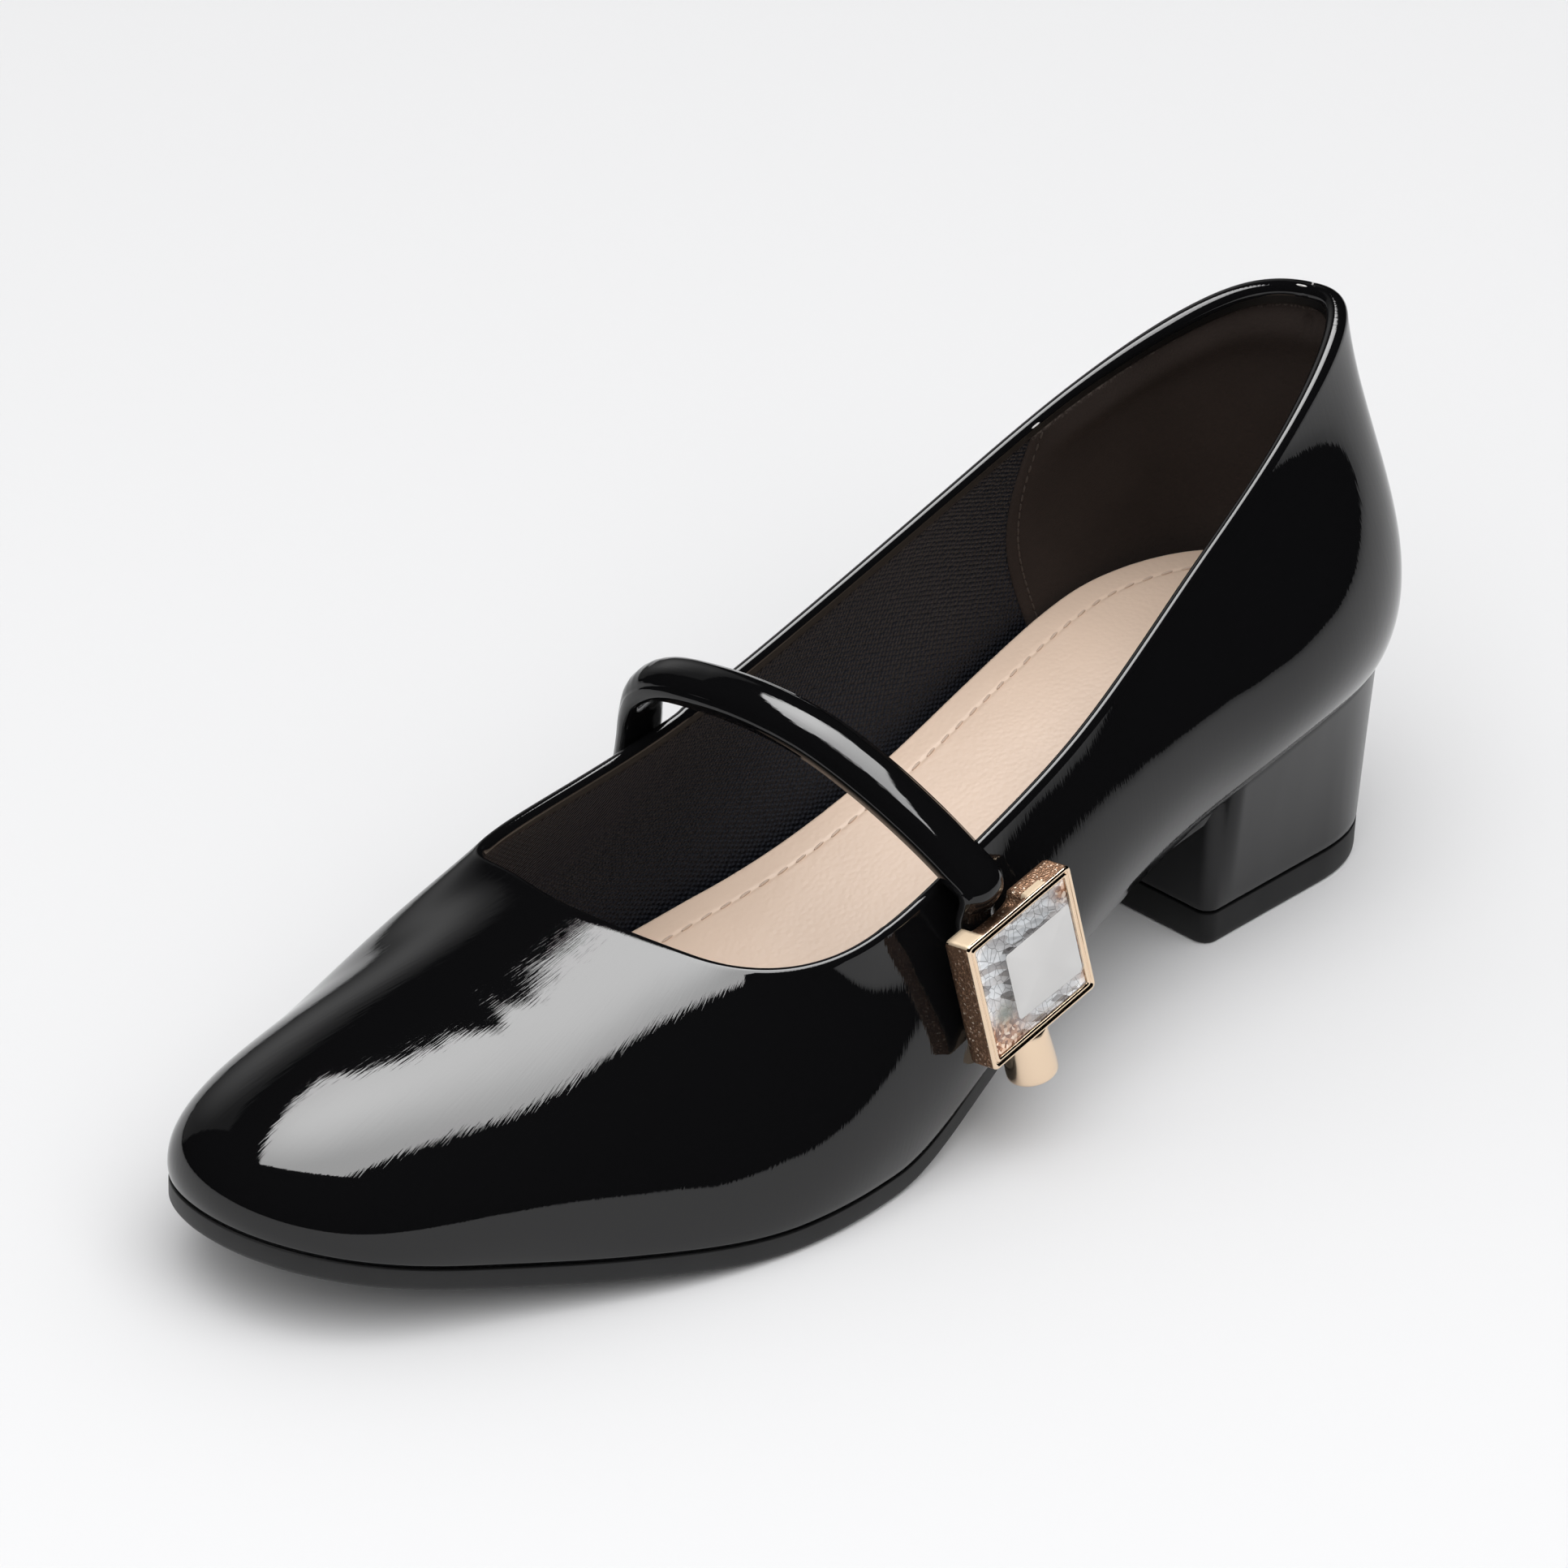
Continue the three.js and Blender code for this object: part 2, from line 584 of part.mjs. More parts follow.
function roundedRectangle(width, height, corner) {
  const [w, h, r] = [width / 2, height / 2, corner];
  const shape = new THREE.Shape().moveTo(-w + r, -h);
  shape.lineTo(w - r, -h).absarc(w - r, -h + r, r, -Math.PI / 2, 0, false);
  shape.lineTo(w, h - r).absarc(w - r, h - r, r, 0, Math.PI / 2, false);
  shape.lineTo(-w + r, h).absarc(-w + r, h - r, r, Math.PI / 2, Math.PI, false);
  shape.lineTo(-w, -h + r).absarc(-w + r, -h + r, r, Math.PI, 1.5 * Math.PI, false);
  return shape;
}

// The setting: a shallow box open at the front, with a notch where the strap goes in behind it.
function makeBuckleFrame(matrixWorld, strapClearance) {
  const { width, height, depth, rim, backPlate, corner, bevel } = FRAME;
  const options = {
    depth: depth - 2 * bevel,
    bevelThickness: bevel,
    bevelSize: bevel,
    bevelSegments: 1,
    curveSegments: 3,
  };
  const face = roundedRectangle(width - 2 * bevel, height - 2 * bevel, corner);
  const box = new THREE.ExtrudeGeometry(face, options);
  box.rotateX(Math.PI / 2).translate(0, -bevel, 0);
  const pocket = new THREE.BoxGeometry(width - 2 * rim, depth, height - 2 * rim);
  pocket.translate(0, backPlate - depth / 2, 0);
  const local = strapClearance.clone().applyMatrix4(matrixWorld.clone().invert());
  return geometryOf(solid(box).subtract(solid(pocket)).subtract(solid(local)));
}

// A step-cut stone: a girdle in the frame's pocket and a crown of sloping facets up to its table.
function makeStone() {
  const width = FRAME.width - 2 * FRAME.rim - 2 * GAP;
  const height = FRAME.height - 2 * FRAME.rim - 2 * GAP;
  const floor = -(FRAME.depth - FRAME.backPlate) + GAP;
  const shoulder = floor + 2 * STONE.girdle;
  const levels = [
    { y: floor, share: 0.8 },
    { y: floor + STONE.girdle, share: 1 },
    { y: shoulder, share: 1 },
    { y: shoulder + STONE.crown * 0.6, share: STONE.stepShare },
    { y: shoulder + STONE.crown, share: STONE.tableShare },
  ];
  const rings = levels.map(({ y, share }) => {
    const [w, h, c] = [(width / 2) * share, (height / 2) * share, STONE.cornerCut * share];
    const half = [[w, h - c], [w - c, h], [c - w, h], [-w, h - c]];
    const outline = [...half, ...half.map(([x, z]) => [-x, -z])];
    return outline.map(([x, z]) => new THREE.Vector3(x, y, z));
  });
  return loft(rings, false);
}

// The short turned stem that hangs from the frame's lower edge.
const STEM_SWELL = 0.55; // share of its length where it reaches its full radius
const STEM_SIDES = 28;
function makeStem() {
  const { topRadius, radius, length, edge } = STEM;
  const profile = [
    [0, 0],
    [topRadius - edge / 2, 0],
    [topRadius, -edge / 2],
    [radius, -length * STEM_SWELL],
    [radius, -length + edge],
    [radius - edge, -length],
    [0, -length],
  ].map(([r, h]) => new THREE.Vector2(r, h));
  const turned = new THREE.LatheGeometry(profile.reverse(), STEM_SIDES);
  return turned.rotateX(Math.PI / 2).translate(STEM.ahead, -STEM.behindFace, -FRAME.height / 2 - GAP);
}

// ---------- the shoe ----------
const FINISHES = {
  patent: { color: 0x0a0a0b, roughness: 0.06, metalness: 0 },
  heelCover: { color: 0x121214, roughness: 0.22, metalness: 0 },
  rubber: { color: 0x17171a, roughness: 0.55, metalness: 0 },
  sock: { color: 0xe7c7ae, roughness: 0.6, metalness: 0 },
  gold: { color: 0xd9b07c, roughness: 0.18, metalness: 1 },
  stone: { color: 0xe9ecef, roughness: 0.03, metalness: 0 },
};
function piece(name, geometry, finish) {
  const mesh = new THREE.Mesh(geometry, new THREE.MeshStandardMaterial(FINISHES[finish]));
  mesh.name = name;
  return mesh;
}

const shoe = new THREE.Group();
shoe.add(
  piece("upper", makeUpper(), "patent"),
  piece("outsole", makeOutsole(), "rubber"),
  piece("heel_block", makeHeelBlock(), "heelCover"),
  piece("heel_top_piece", makeTopPiece(), "rubber"),
  piece("insole", makeInsole(), "sock"),
  piece("strap", loft(strapRings(0), false), "patent"),
);

const buckle = placeBuckle(new THREE.Group());
buckle.add(
  piece("buckle_frame", makeBuckleFrame(buckle.matrixWorld, loft(strapRings(GAP), false)), "gold"),
  piece("buckle_stone", makeStone(), "stone"),
  piece("buckle_stem", makeStem(), "gold"),
);
shoe.add(buckle);

export default shoe;
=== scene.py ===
"""A left mary jane pump in black patent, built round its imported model.

Run as a script in Blender 4.5. Lengths in the tables are millimetres; meshes are metres.
"""

import math

import bpy
import numpy as np
from mathutils import Matrix, Vector


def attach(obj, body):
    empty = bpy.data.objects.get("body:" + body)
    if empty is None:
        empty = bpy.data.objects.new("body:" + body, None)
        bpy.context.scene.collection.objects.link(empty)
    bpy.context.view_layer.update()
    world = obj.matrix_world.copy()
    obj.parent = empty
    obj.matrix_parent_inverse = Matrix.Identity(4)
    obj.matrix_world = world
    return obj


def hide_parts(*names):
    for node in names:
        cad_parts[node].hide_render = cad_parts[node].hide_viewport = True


bl_info = {
    "name": "Mary jane pump",
    "version": (1, 0, 0),
    "blender": (4, 5, 0),
    "location": "View3D > Sidebar > Pump",
    "description": "Builds a left mary jane pump in black patent with a framed stone",
    "category": "Add Mesh",
}

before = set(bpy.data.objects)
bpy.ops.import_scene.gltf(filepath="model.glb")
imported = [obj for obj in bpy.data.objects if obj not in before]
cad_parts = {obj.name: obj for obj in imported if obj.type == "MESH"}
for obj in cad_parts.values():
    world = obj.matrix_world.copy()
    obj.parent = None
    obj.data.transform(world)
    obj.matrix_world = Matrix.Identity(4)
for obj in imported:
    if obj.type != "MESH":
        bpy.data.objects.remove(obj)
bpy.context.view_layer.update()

MM = 0.001
BODY = "root"


def linear(code):
    """A colour as linear RGBA, from its sRGB hex value."""
    parts = np.array([int(code[i : i + 2], 16) for i in (1, 3, 5)]) / 255
    low = parts / 12.92
    high = ((parts + 0.055) / 1.055) ** 2.4
    return (*np.where(parts <= 0.04045, low, high), 1.0)


# ---------------------------------------------------------------- the shoe's form

# One row for each section round the shoe, from the back along the outer side to the tip and home
# along the inner side. along and side place the feather edge, where the upper meets the sole:
# shares of the length from the back, and of half the ball width outwards. top_along, top_side and
# top place the topline, top as a share of the back's height. swell and rise shape the wall's
# foot, lead and drop its arrival at the topline, in millimetres.
COLUMNS = ("along", "side", "top_along", "top_side", "top", "swell", "rise", "lead", "drop")
SECTIONS = {
    "back": (0.0, -0.01, 0.018, -0.02, 1.0, 3.6, 17, 2.5, 24.4),
    "outer heel corner": (0.026, 0.46, 0.036, 0.22, 0.992, 7, 20.5, 3, 20),
    "outer seat": (0.12, 0.68, 0.131, 0.427, 0.898, 12, 17, 6, 19),
    "outer breast": (0.243, 0.712, 0.247, 0.545, 0.758, 9.4, 16.4, 7.8, 17.6),
    "outer waist": (0.387, 0.765, 0.378, 0.69, 0.62, 8.6, 16.3, 5.3, 14.6),
    "outer instep": (0.531, 0.905, 0.502, 0.755, 0.52, 5.8, 15.6, 3.7, 13.2),
    "outer joint": (0.654, 0.97, 0.603, 0.765, 0.456, 3.4, 14.2, 1.6, 13.8),
    "outer vamp": (0.774, 0.81, 0.66, 0.52, 0.436, 1.6, 16.5, 13.5, 11),
    "outer toe": (0.885, 0.505, 0.679, 0.25, 0.44, 4.5, 18, 28, 8.4),
    "outer toe corner": (0.963, 0.225, 0.688, 0.07, 0.447, 2.4, 16.6, 32, 8.4),
    "tip": (1.0, -0.18, 0.694, -0.1, 0.452, 3, 17, 43, 9.8),
    "inner toe corner": (0.983, -0.61, 0.697, -0.31, 0.454, 3.6, 17, 38, 8),
    "inner toe": (0.915, -0.826, 0.695, -0.525, 0.456, 2.5, 14.8, 24.5, 8.2),
    "inner vamp": (0.803, -0.98, 0.684, -0.735, 0.456, 3, 14.8, 12, 8),
    "inner joint": (0.691, -1.012, 0.606, -0.765, 0.474, 3, 15, 5, 12),
    "inner instep": (0.556, -0.82, 0.508, -0.722, 0.521, 3, 14, 3, 14),
    "inner waist": (0.412, -0.575, 0.385, -0.692, 0.612, 3, 14, 2.2, 16),
    "inner breast": (0.247, -0.572, 0.251, -0.632, 0.74, 3.2, 15, 3.2, 18),
    "inner seat": (0.124, -0.61, 0.134, -0.53, 0.866, 4.2, 17, 5, 20),
    "inner heel corner": (0.028, -0.42, 0.042, -0.3, 0.972, 5, 18, 4.5, 22),
}
LEAD = COLUMNS.index("lead")
DROP = COLUMNS.index("drop")
BACK_X = -30  # the feather edge's back; the heel's middle is at 0

# Height of the feather edge along the shoe, as shares of the heel's height.
TREAD = 4.4 / 38.5
BOTTOM_X = (-36, -30, 0, 30, 60, 90, 115, 135, 165, 190, 213, 220)
BOTTOM_HEIGHT = (0.96, 0.955, 0.915, 0.785, 0.56, 0.29, TREAD, TREAD, 0.2, 0.305, 0.44, 0.48)

# Where the feather edge stands this far in plan from the topline, the wall's upper handle starts
# to turn from the feather edge's normal to the line between them, over the blend.
VAMP_FROM = 8
VAMP_BLEND = 20

# The strap's centre line, from the inner feather edge over the instep: x, y, z, how far its
# width is turned in plan, and how far it is tipped down to the toe, in degrees.
STRAP_ROUTE = (
    (98.1, -36.4, 10.5, -19, 0),
    (98.2, -37.3, 17, -18, 0),
    (98.2, -37.6, 23, -15, 0),
    (98.2, -37.3, 29, -12, 0),
    (98.1, -36.5, 35, -9, 0),
    (98.1, -35.4, 41, -6, 0),
    (98.4, -34.5, 47, -3, 2),
    (99.1, -33.4, 52, 0, 6),
    (100, -30.9, 57, 3, 11),
    (100.4, -25.8, 60.8, 5, 15),
    (100.1, -16, 63, 5, 18),
    (99.3, -5, 63.6, 5, 18),
    (98.5, 5.4, 62.6, 5, 18),
    (97.7, 15.8, 59.7, 5, 17),
    (96.9, 26.2, 55.5, 5, 14),
    (96.3, 34.4, 51.3, 5, 11),
    (95.9, 38.5, 48.4, 5, 10),
)


def periodic_spline(knots, rows):
    """A function of u giving the rows joined by a cubic spline that closes on itself.

    The second derivatives solve h0 m0 + 2 (h0 + h1) m1 + h1 m2 = 6 (slope1 - slope0) at each row.
    """
    count = len(rows)
    gaps = np.diff(np.append(knots, 1.0))
    before = np.roll(gaps, 1)
    slopes = (np.roll(rows, -1, 0) - rows) / gaps[:, None]
    system = np.zeros((count, count))
    index = np.arange(count)
    system[index, index] = 2 * (before + gaps)
    system[index, (index - 1) % count] = before
    system[index, (index + 1) % count] = gaps
    bend = np.linalg.solve(system, 6 * (slopes - np.roll(slopes, 1, 0)))

    def value(u):
        w = np.mod(np.asarray(u, float), 1.0)
        i = np.searchsorted(knots, w, side="right") - 1
        j = (i + 1) % count
        gap = gaps[i][..., None]
        b = (w - knots[i])[..., None] / gap
        a = 1 - b
        curved = (a**3 - a) * bend[i] + (b**3 - b) * bend[j]
        return a * rows[i] + b * rows[j] + curved * gap**2 / 6

    return value


def monotone(x, xs, ys):
    """A cubic through (xs, ys) that never overshoots: each slope is the harmonic mean of its
    neighbours' slopes, or flat where they change sign."""
    xs, ys = np.asarray(xs, float), np.asarray(ys, float)
    slope = np.diff(ys) / np.diff(xs)
    a, b = slope[:-1], slope[1:]
    inner = np.where(a * b > 0, 2 * a * b / np.where(a + b == 0, 1, a + b), 0)
    tangent = np.concatenate([slope[:1], inner, slope[-1:]])
    x = np.clip(x, xs[0], xs[-1])
    i = np.clip(np.searchsorted(xs, x, side="right") - 1, 0, len(xs) - 2)
    d = xs[i + 1] - xs[i]
    t = (x - xs[i]) / d
    lift = ys[i] * (1 + 2 * t) * (1 - t) ** 2 + ys[i + 1] * t * t * (3 - 2 * t)
    return lift + tangent[i] * d * t * (1 - t) ** 2 + tangent[i + 1] * d * t * t * (t - 1)


def smooth(x, low, high):
    """0 below low, 1 above high, and 3 t^2 - 2 t^3 between them."""
    t = np.clip((x - low) / (high - low), 0, 1)
    return t * t * (3 - 2 * t)


def bell(x, middle, width):
    """exp(-((x - middle) / width)^2)."""
    return np.exp(-(((x - middle) / width) ** 2))


def unit(vectors):
    """Vectors divided by their lengths."""
    return vectors / np.maximum(np.linalg.norm(vectors, axis=-1, keepdims=True), 1e-12)


def arrival(row):
    """Millimetres of wall to one of v at the topline: three times the upper handle's length."""
    return 3 * np.hypot(row[..., LEAD], row[..., DROP])


class Last:
    """The form that the upper is pulled over, in millimetres, from the section table."""

    def __init__(self, sizes):
        self.length = sizes.length / MM
        self.heel = sizes.heel_height / MM
        half = sizes.ball_width / MM / 2
        table = np.array(list(SECTIONS.values()), float)
        table[:, (0, 2)] = BACK_X + table[:, (0, 2)] * self.length
        table[:, (1, 3)] *= half
        table[:, 4] *= sizes.back_height / MM
        spans = np.linalg.norm(np.roll(table[:, :2], -1, 0) - table[:, :2], axis=1)
        knots = np.concatenate([[0], np.cumsum(spans)[:-1]]) / spans.sum()
        self.section = periodic_spline(knots, table)

    def bottom(self, x):
        """Height of the feather edge at x."""
        return self.heel * monotone(x, BOTTOM_X, BOTTOM_HEIGHT)

    def feather(self, u, out=0.0):
        """Points on the feather edge moved outwards in plan by out, and its plan normals."""
        step = 1e-4
        xy = self.section(u)[..., :2]
        run = unit(self.section(u + step)[..., :2] - self.section(u - step)[..., :2])
        normal = np.stack([-run[..., 1], run[..., 0]], -1)
        xy = xy + normal * np.asarray(out)[..., None]
        return np.concatenate([xy, self.bottom(xy[..., :1])], -1), normal

    def wall(self, u, v):
        """The outer face: a cubic Bezier in v for each u, from the feather edge to the topline."""
        u, v = np.broadcast_arrays(u, v)
        row = self.section(u)
        foot, normal = self.feather(u)
        top = row[..., 2:5]
        swell, rise, lead, drop = (row[..., k, None] for k in (5, 6, 7, 8))
        reach = foot[..., :2] - top[..., :2]
        span = np.linalg.norm(reach, axis=-1, keepdims=True)
        share = np.clip((span - VAMP_FROM) / VAMP_BLEND, 0, 1)
        away = unit(normal * (1 - share) + unit(reach) * share)
        low = foot + np.concatenate([normal * swell, rise], -1)
        high = top + np.concatenate([away * lead, -drop], -1)
        w = v[..., None]
        k = 1 - w
        return foot * k**3 + 3 * low * w * k**2 + 3 * high * w**2 * k + top * w**3

    def outward(self, u, v):
        """Unit normals of the outer face, by small steps in u and v."""
        step = 1e-3
        along = self.wall(u + step, v) - self.wall(u - step, v)
        up = self.wall(u, np.minimum(v + step, 1)) - self.wall(u, np.maximum(v - step, 0))
        return unit(np.cross(up, along))

    def u_at(self, x, side):
        """u where the topline passes x on the outer (1) or inner (-1) side."""
        u = np.linspace(0, 0.5, 4001)[1:] if side > 0 else np.linspace(0.5, 1, 4001)[:-1]
        return u[np.argmin(np.abs(self.section(u)[:, 2] - x))]


# ---------------------------------------------------------------- meshes


def new_piece(name, points, faces, material, replaces=(), uv=None):
    """An object at the origin from points in millimetres, riding on the shoe."""
    mesh = bpy.data.meshes.new(name)
    mesh.vertices.add(len(points))
    mesh.vertices.foreach_set("co", (np.asarray(points) * MM).astype(np.float32).ravel())
    sizes = np.array([len(part) and part.shape[1] for part in faces])
    counts = np.array([len(part) for part in faces])
    corners = np.concatenate([part.ravel() for part in faces])
    mesh.loops.add(len(corners))
    mesh.loops.foreach_set("vertex_index", corners.astype(np.int32))
    mesh.polygons.add(int(counts.sum()))
    totals = np.repeat(sizes, counts)
    starts = np.concatenate([[0], np.cumsum(totals)[:-1]])
    mesh.polygons.foreach_set("loop_start", starts.astype(np.int32))
    mesh.polygons.foreach_set("use_smooth", np.ones(len(totals), bool))
    mesh.update(calc_edges=True)
    if uv is not None:
        layer = mesh.uv_layers.new(name="place")
        layer.data.foreach_set("uv", uv.astype(np.float32).ravel())
    if mesh.validate():
        raise RuntimeError(name + " has faces that share all their corners")
    piece = bpy.data.objects.new(name, mesh)
    bpy.context.scene.collection.objects.link(piece)
    piece.data.materials.append(material)
    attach(piece, BODY)
    if replaces:
        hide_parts(*replaces)
    return piece


def grid_faces(rows, columns, wrap_rows, wrap_columns):
    """Quads between neighbours of a rows by columns grid of points, as indices."""
    i = np.arange(rows if wrap_rows else rows - 1)
    j = np.arange(columns if wrap_columns else columns - 1)
    i, j = np.meshgrid(i, j, indexing="ij")
    a, b = (i + 1) % rows, (j + 1) % columns
    quads = np.stack([i * columns + j, a * columns + j, a * columns + b, i * columns + b], -1)
    return quads.reshape(-1, 4)


def outwards(points, faces):
    """The faces, turned so that the volume they close is above zero."""
    p = np.asarray(points)
    volume = 0.0
    for part in faces:
        for k in range(1, part.shape[1] - 1):
            a, b, c = p[part[:, 0]], p[part[:, k]], p[part[:, k + 1]]
            volume += np.einsum("ij,ij->", a, np.cross(b, c))
    return faces if volume > 0 else [part[:, ::-1] for part in faces]


def ring_solid(rings):
    """Rings of points joined along their length, each end closed by a fan on its middle."""
    count, around = rings.shape[:2]
    points = np.concatenate([rings.reshape(-1, 3), rings[[0, -1]].mean(1)])
    j = np.arange(around)
    k = (j + 1) % around
    last = (count - 1) * around
    fans = [
        np.stack([k, j, np.full(around, count * around)], -1),
        np.stack([last + j, last + k, np.full(around, count * around + 1)], -1),
    ]
    quads = grid_faces(count, around, False, True)[:, ::-1]
    return points, outwards(points, [quads, np.concatenate(fans)])


def torus(rings):
    """Rings of points joined along their length and back to the first."""
    points = rings.reshape(-1, 3)
    return points, outwards(points, [grid_faces(*rings.shape[:2], True, True)])


def slab(front, back):
    """Two grids of points facing each other, joined along their four edges."""
    rows, columns = front.shape[:2]
    points = np.concatenate([front.reshape(-1, 3), back.reshape(-1, 3)])
    quads = grid_faces(rows, columns, False, False)
    size = rows * columns
    index = np.arange(size).reshape(rows, columns)
    border = np.concatenate([index[:-1, 0], index[-1, :-1], index[:0:-1, -1], index[0, :0:-1]])
    ahead = np.roll(border, -1)
    rim = np.stack([border, border + size, ahead + size, ahead], -1)
    return points, outwards(points, [np.concatenate([quads, quads[:, ::-1] + size, rim])])


def pad(rings):
    """Closed plan loops from the underside to the top, each end closed on the shape's spine: the
    middles between points and their mirrors across the loop, where the two share one vertex."""
    around = rings.shape[1]
    mirror = (-np.arange(around)) % around
    spine = (rings + rings[:, mirror]) / 2
    rings = np.concatenate([spine[:1], rings, spine[-1:]])
    count = len(rings)
    index = np.arange(count * around).reshape(count, around)
    for end in (0, -1):
        index[end] = np.where(mirror < np.arange(around), index[end][mirror], index[end])
    quads = index.ravel()[grid_faces(count, around, False, True)]
    used, again = np.unique(quads, return_inverse=True)
    quads = again.reshape(quads.shape)
    flat = (quads == np.roll(quads, 1, 1)).any(1)
    points = rings.reshape(-1, 3)[used]
    thin = quads[flat]
    keep = thin != np.roll(thin, 1, 1)
    threes = thin[keep.sum(1) == 3]
    parts = [quads[~flat]]
    if len(threes):
        parts.append(threes[threes != np.roll(threes, 1, 1)].reshape(-1, 3))
    return points, outwards(points, parts)


def beads(centres, along, across, lengths, radius, slices=6, steps=5):
    """Short rounded threads, one on each centre, as one mesh: each is a tube whose radius is
    radius * sqrt(1 - |t|^3) for t from -1 to 1 along its length."""
    reach = along[:, None] * (np.asarray(lengths) / 2)[:, None, None]
    t = np.linspace(-1, 1, steps + 2)[1:-1]
    angle = 2 * np.pi * np.arange(slices) / slices
    normal = unit(np.cross(along, across))
    size = radius * (1 - np.abs(t) ** 3) ** 0.5
    ring = across[:, None, None] * np.cos(angle)[None, None, :, None]
    ring = ring + normal[:, None, None] * np.sin(angle)[None, None, :, None]
    spine = centres[:, None] + reach * t[:, None]
    rings = spine[:, :, None] + ring * size[None, :, None, None]
    tips = centres[:, None] + reach * np.array([[-1], [1]])
    count = len(centres)
    points = np.concatenate([rings.reshape(count, -1, 3), tips], 1)
    j = np.arange(slices)
    k = (j + 1) % slices
    end = (len(t) - 1) * slices
    tip = len(t) * slices
    one = grid_faces(len(t), slices, False, True)[:, ::-1]
    fans = np.concatenate(
        [
            np.stack([k, j, np.full(slices, tip)], -1),
            np.stack([end + j, end + k, np.full(slices, tip + 1)], -1),
        ]
    )
    shift = (np.arange(count) * points.shape[1])[:, None, None]
    faces = [(one + shift).reshape(-1, 4), (fans + shift).reshape(-1, 3)]
    flat = points.reshape(-1, 3)
    return flat, outwards(flat, faces)


# ---------------------------------------------------------------- materials


def add(tree, kind, links=None, **settings):
    """Adds a node, sets its properties and sockets by name, and links sockets to outputs."""
    node = tree.nodes.new(kind)
    for name, value in settings.items():
        if hasattr(node, name):
            setattr(node, name, value)
        else:
            node.inputs[name.replace("_", " ")].default_value = value
    for name, source in (links or {}).items():
        socket = node.inputs[name] if isinstance(name, int) else node.inputs[name.replace("_", " ")]
        tree.links.new(source, socket)
    return node


def chosen(part):
    """The user's colour for a part, as linear RGBA."""
    return tuple(getattr(bpy.context.scene.pump_colours, part))


def material(name, **sockets):
    """A new material with one surface shader, its constants set on the shader's own sockets."""
    made = bpy.data.materials.new(name)
    made.use_nodes = True
    shader = made.node_tree.nodes["Principled BSDF"]
    for key, value in sockets.items():
        shader.inputs[key.replace("_", " ")].default_value = value
    return made, made.node_tree, shader


def place(tree, scale=(1, 1, 1), uv=False, turn=0):
    """Coordinates on the piece in millimetres, turned and then times scale: its object's, or its
    own UV map."""
    if uv:
        source = add(tree, "ShaderNodeUVMap", uv_map="place").outputs["UV"]
    else:
        source = add(tree, "ShaderNodeTexCoord").outputs["Object"]
    if turn:
        turned = (0, 0, math.radians(turn))
        source = add(tree, "ShaderNodeMapping", {"Vector": source}, Rotation=turned).outputs["Vector"]
    to_mm = tuple(s / MM for s in scale)
    return add(tree, "ShaderNodeMapping", {"Vector": source}, Scale=to_mm).outputs["Vector"]


def tinted(code, share):
    """A linear colour with its light times share."""
    return (*(np.array(code[:3]) * share), 1.0)


def ramp(tree, factor, *stops):
    """A colour ramp over the factor, each stop a position and a colour."""
    node = add(tree, "ShaderNodeValToRGB", {"Fac": factor})
    elements = node.color_ramp.elements
    while len(elements) < len(stops):
        elements.new(0.5)
    for element, (position, colour) in zip(elements, stops):
        element.position = position
        element.color = colour
    return node.outputs["Color"]


def patent():
    """Patent leather: a polyurethane film cast on black leather cloth. The film is mirror
    smooth, with faint streaks up the wall from lasting that feather the edges of reflections."""
    made, tree, shader = material(
        "patent_leather", Base_Color=chosen("patent"), Roughness=0.03, IOR=1.48
    )
    streak = add(
        tree,
        "ShaderNodeTexNoise",
        {"Vector": place(tree, (1.6, 0.14, 1), uv=True)},
        Scale=1.0,
        Detail=2.0,
        Roughness=0.6,
    )
    sway = add(
        tree, "ShaderNodeTexNoise", {"Vector": place(tree, (0.05, 0.05, 0.05))}, Scale=1.0, Detail=2.0
    )
    fine = add(tree, "ShaderNodeBump", {"Height": streak.outputs["Fac"]}, Distance=1.3e-5)
    soft = add(
        tree,
        "ShaderNodeBump",
        {"Height": sway.outputs["Fac"], "Normal": fine.outputs["Normal"]},
        Distance=1.5e-4,
    )
    tree.links.new(soft.outputs["Normal"], shader.inputs["Normal"])
    return made


def turned_edge():
    """The patent's edge, skived thin and turned in: its film is crazed matt by the folding."""
    return material(
        "turned_edge", Base_Color=linear("#0B0B0C"), Roughness=0.5, Specular_IOR_Level=0.2
    )[0]


def lining():
    """Lining: embossed polyurethane, black and low in gloss, its pebbles about 0.9 by 0.7 mm in
    slanting rows, so that each pebble catches a small light."""
    made, tree, shader = material(
        "pebbled_lining", Base_Color=chosen("lining"), Roughness=0.38, IOR=1.5, Specular_IOR_Level=0.4
    )
    shader.inputs["Specular Tint"].default_value = linear("#C4CAD8")
    cells = add(
        tree,
        "ShaderNodeTexVoronoi",
        {"Vector": place(tree, (1.0, 1.4, 1), uv=True, turn=28)},
        voronoi_dimensions="2D",
        feature="SMOOTH_F1",
        Scale=1.0,
        Smoothness=0.25,
        Randomness=0.3,
    )
    grain = add(
        tree, "ShaderNodeBump", {"Height": cells.outputs["Distance"]}, invert=True, Distance=5e-4
    )
    tree.links.new(grain.outputs["Normal"], shader.inputs["Normal"])
    # painted shade: the valleys between the pebbles are darkened to 0.35 of the lining's colour
    painted_valley_shade = tinted(chosen("lining"), 0.35)
    shade = ramp(tree, cells.outputs["Distance"], (0.1, chosen("lining")), (0.7, painted_valley_shade))
    tree.links.new(shade, shader.inputs["Base Color"])
    return made


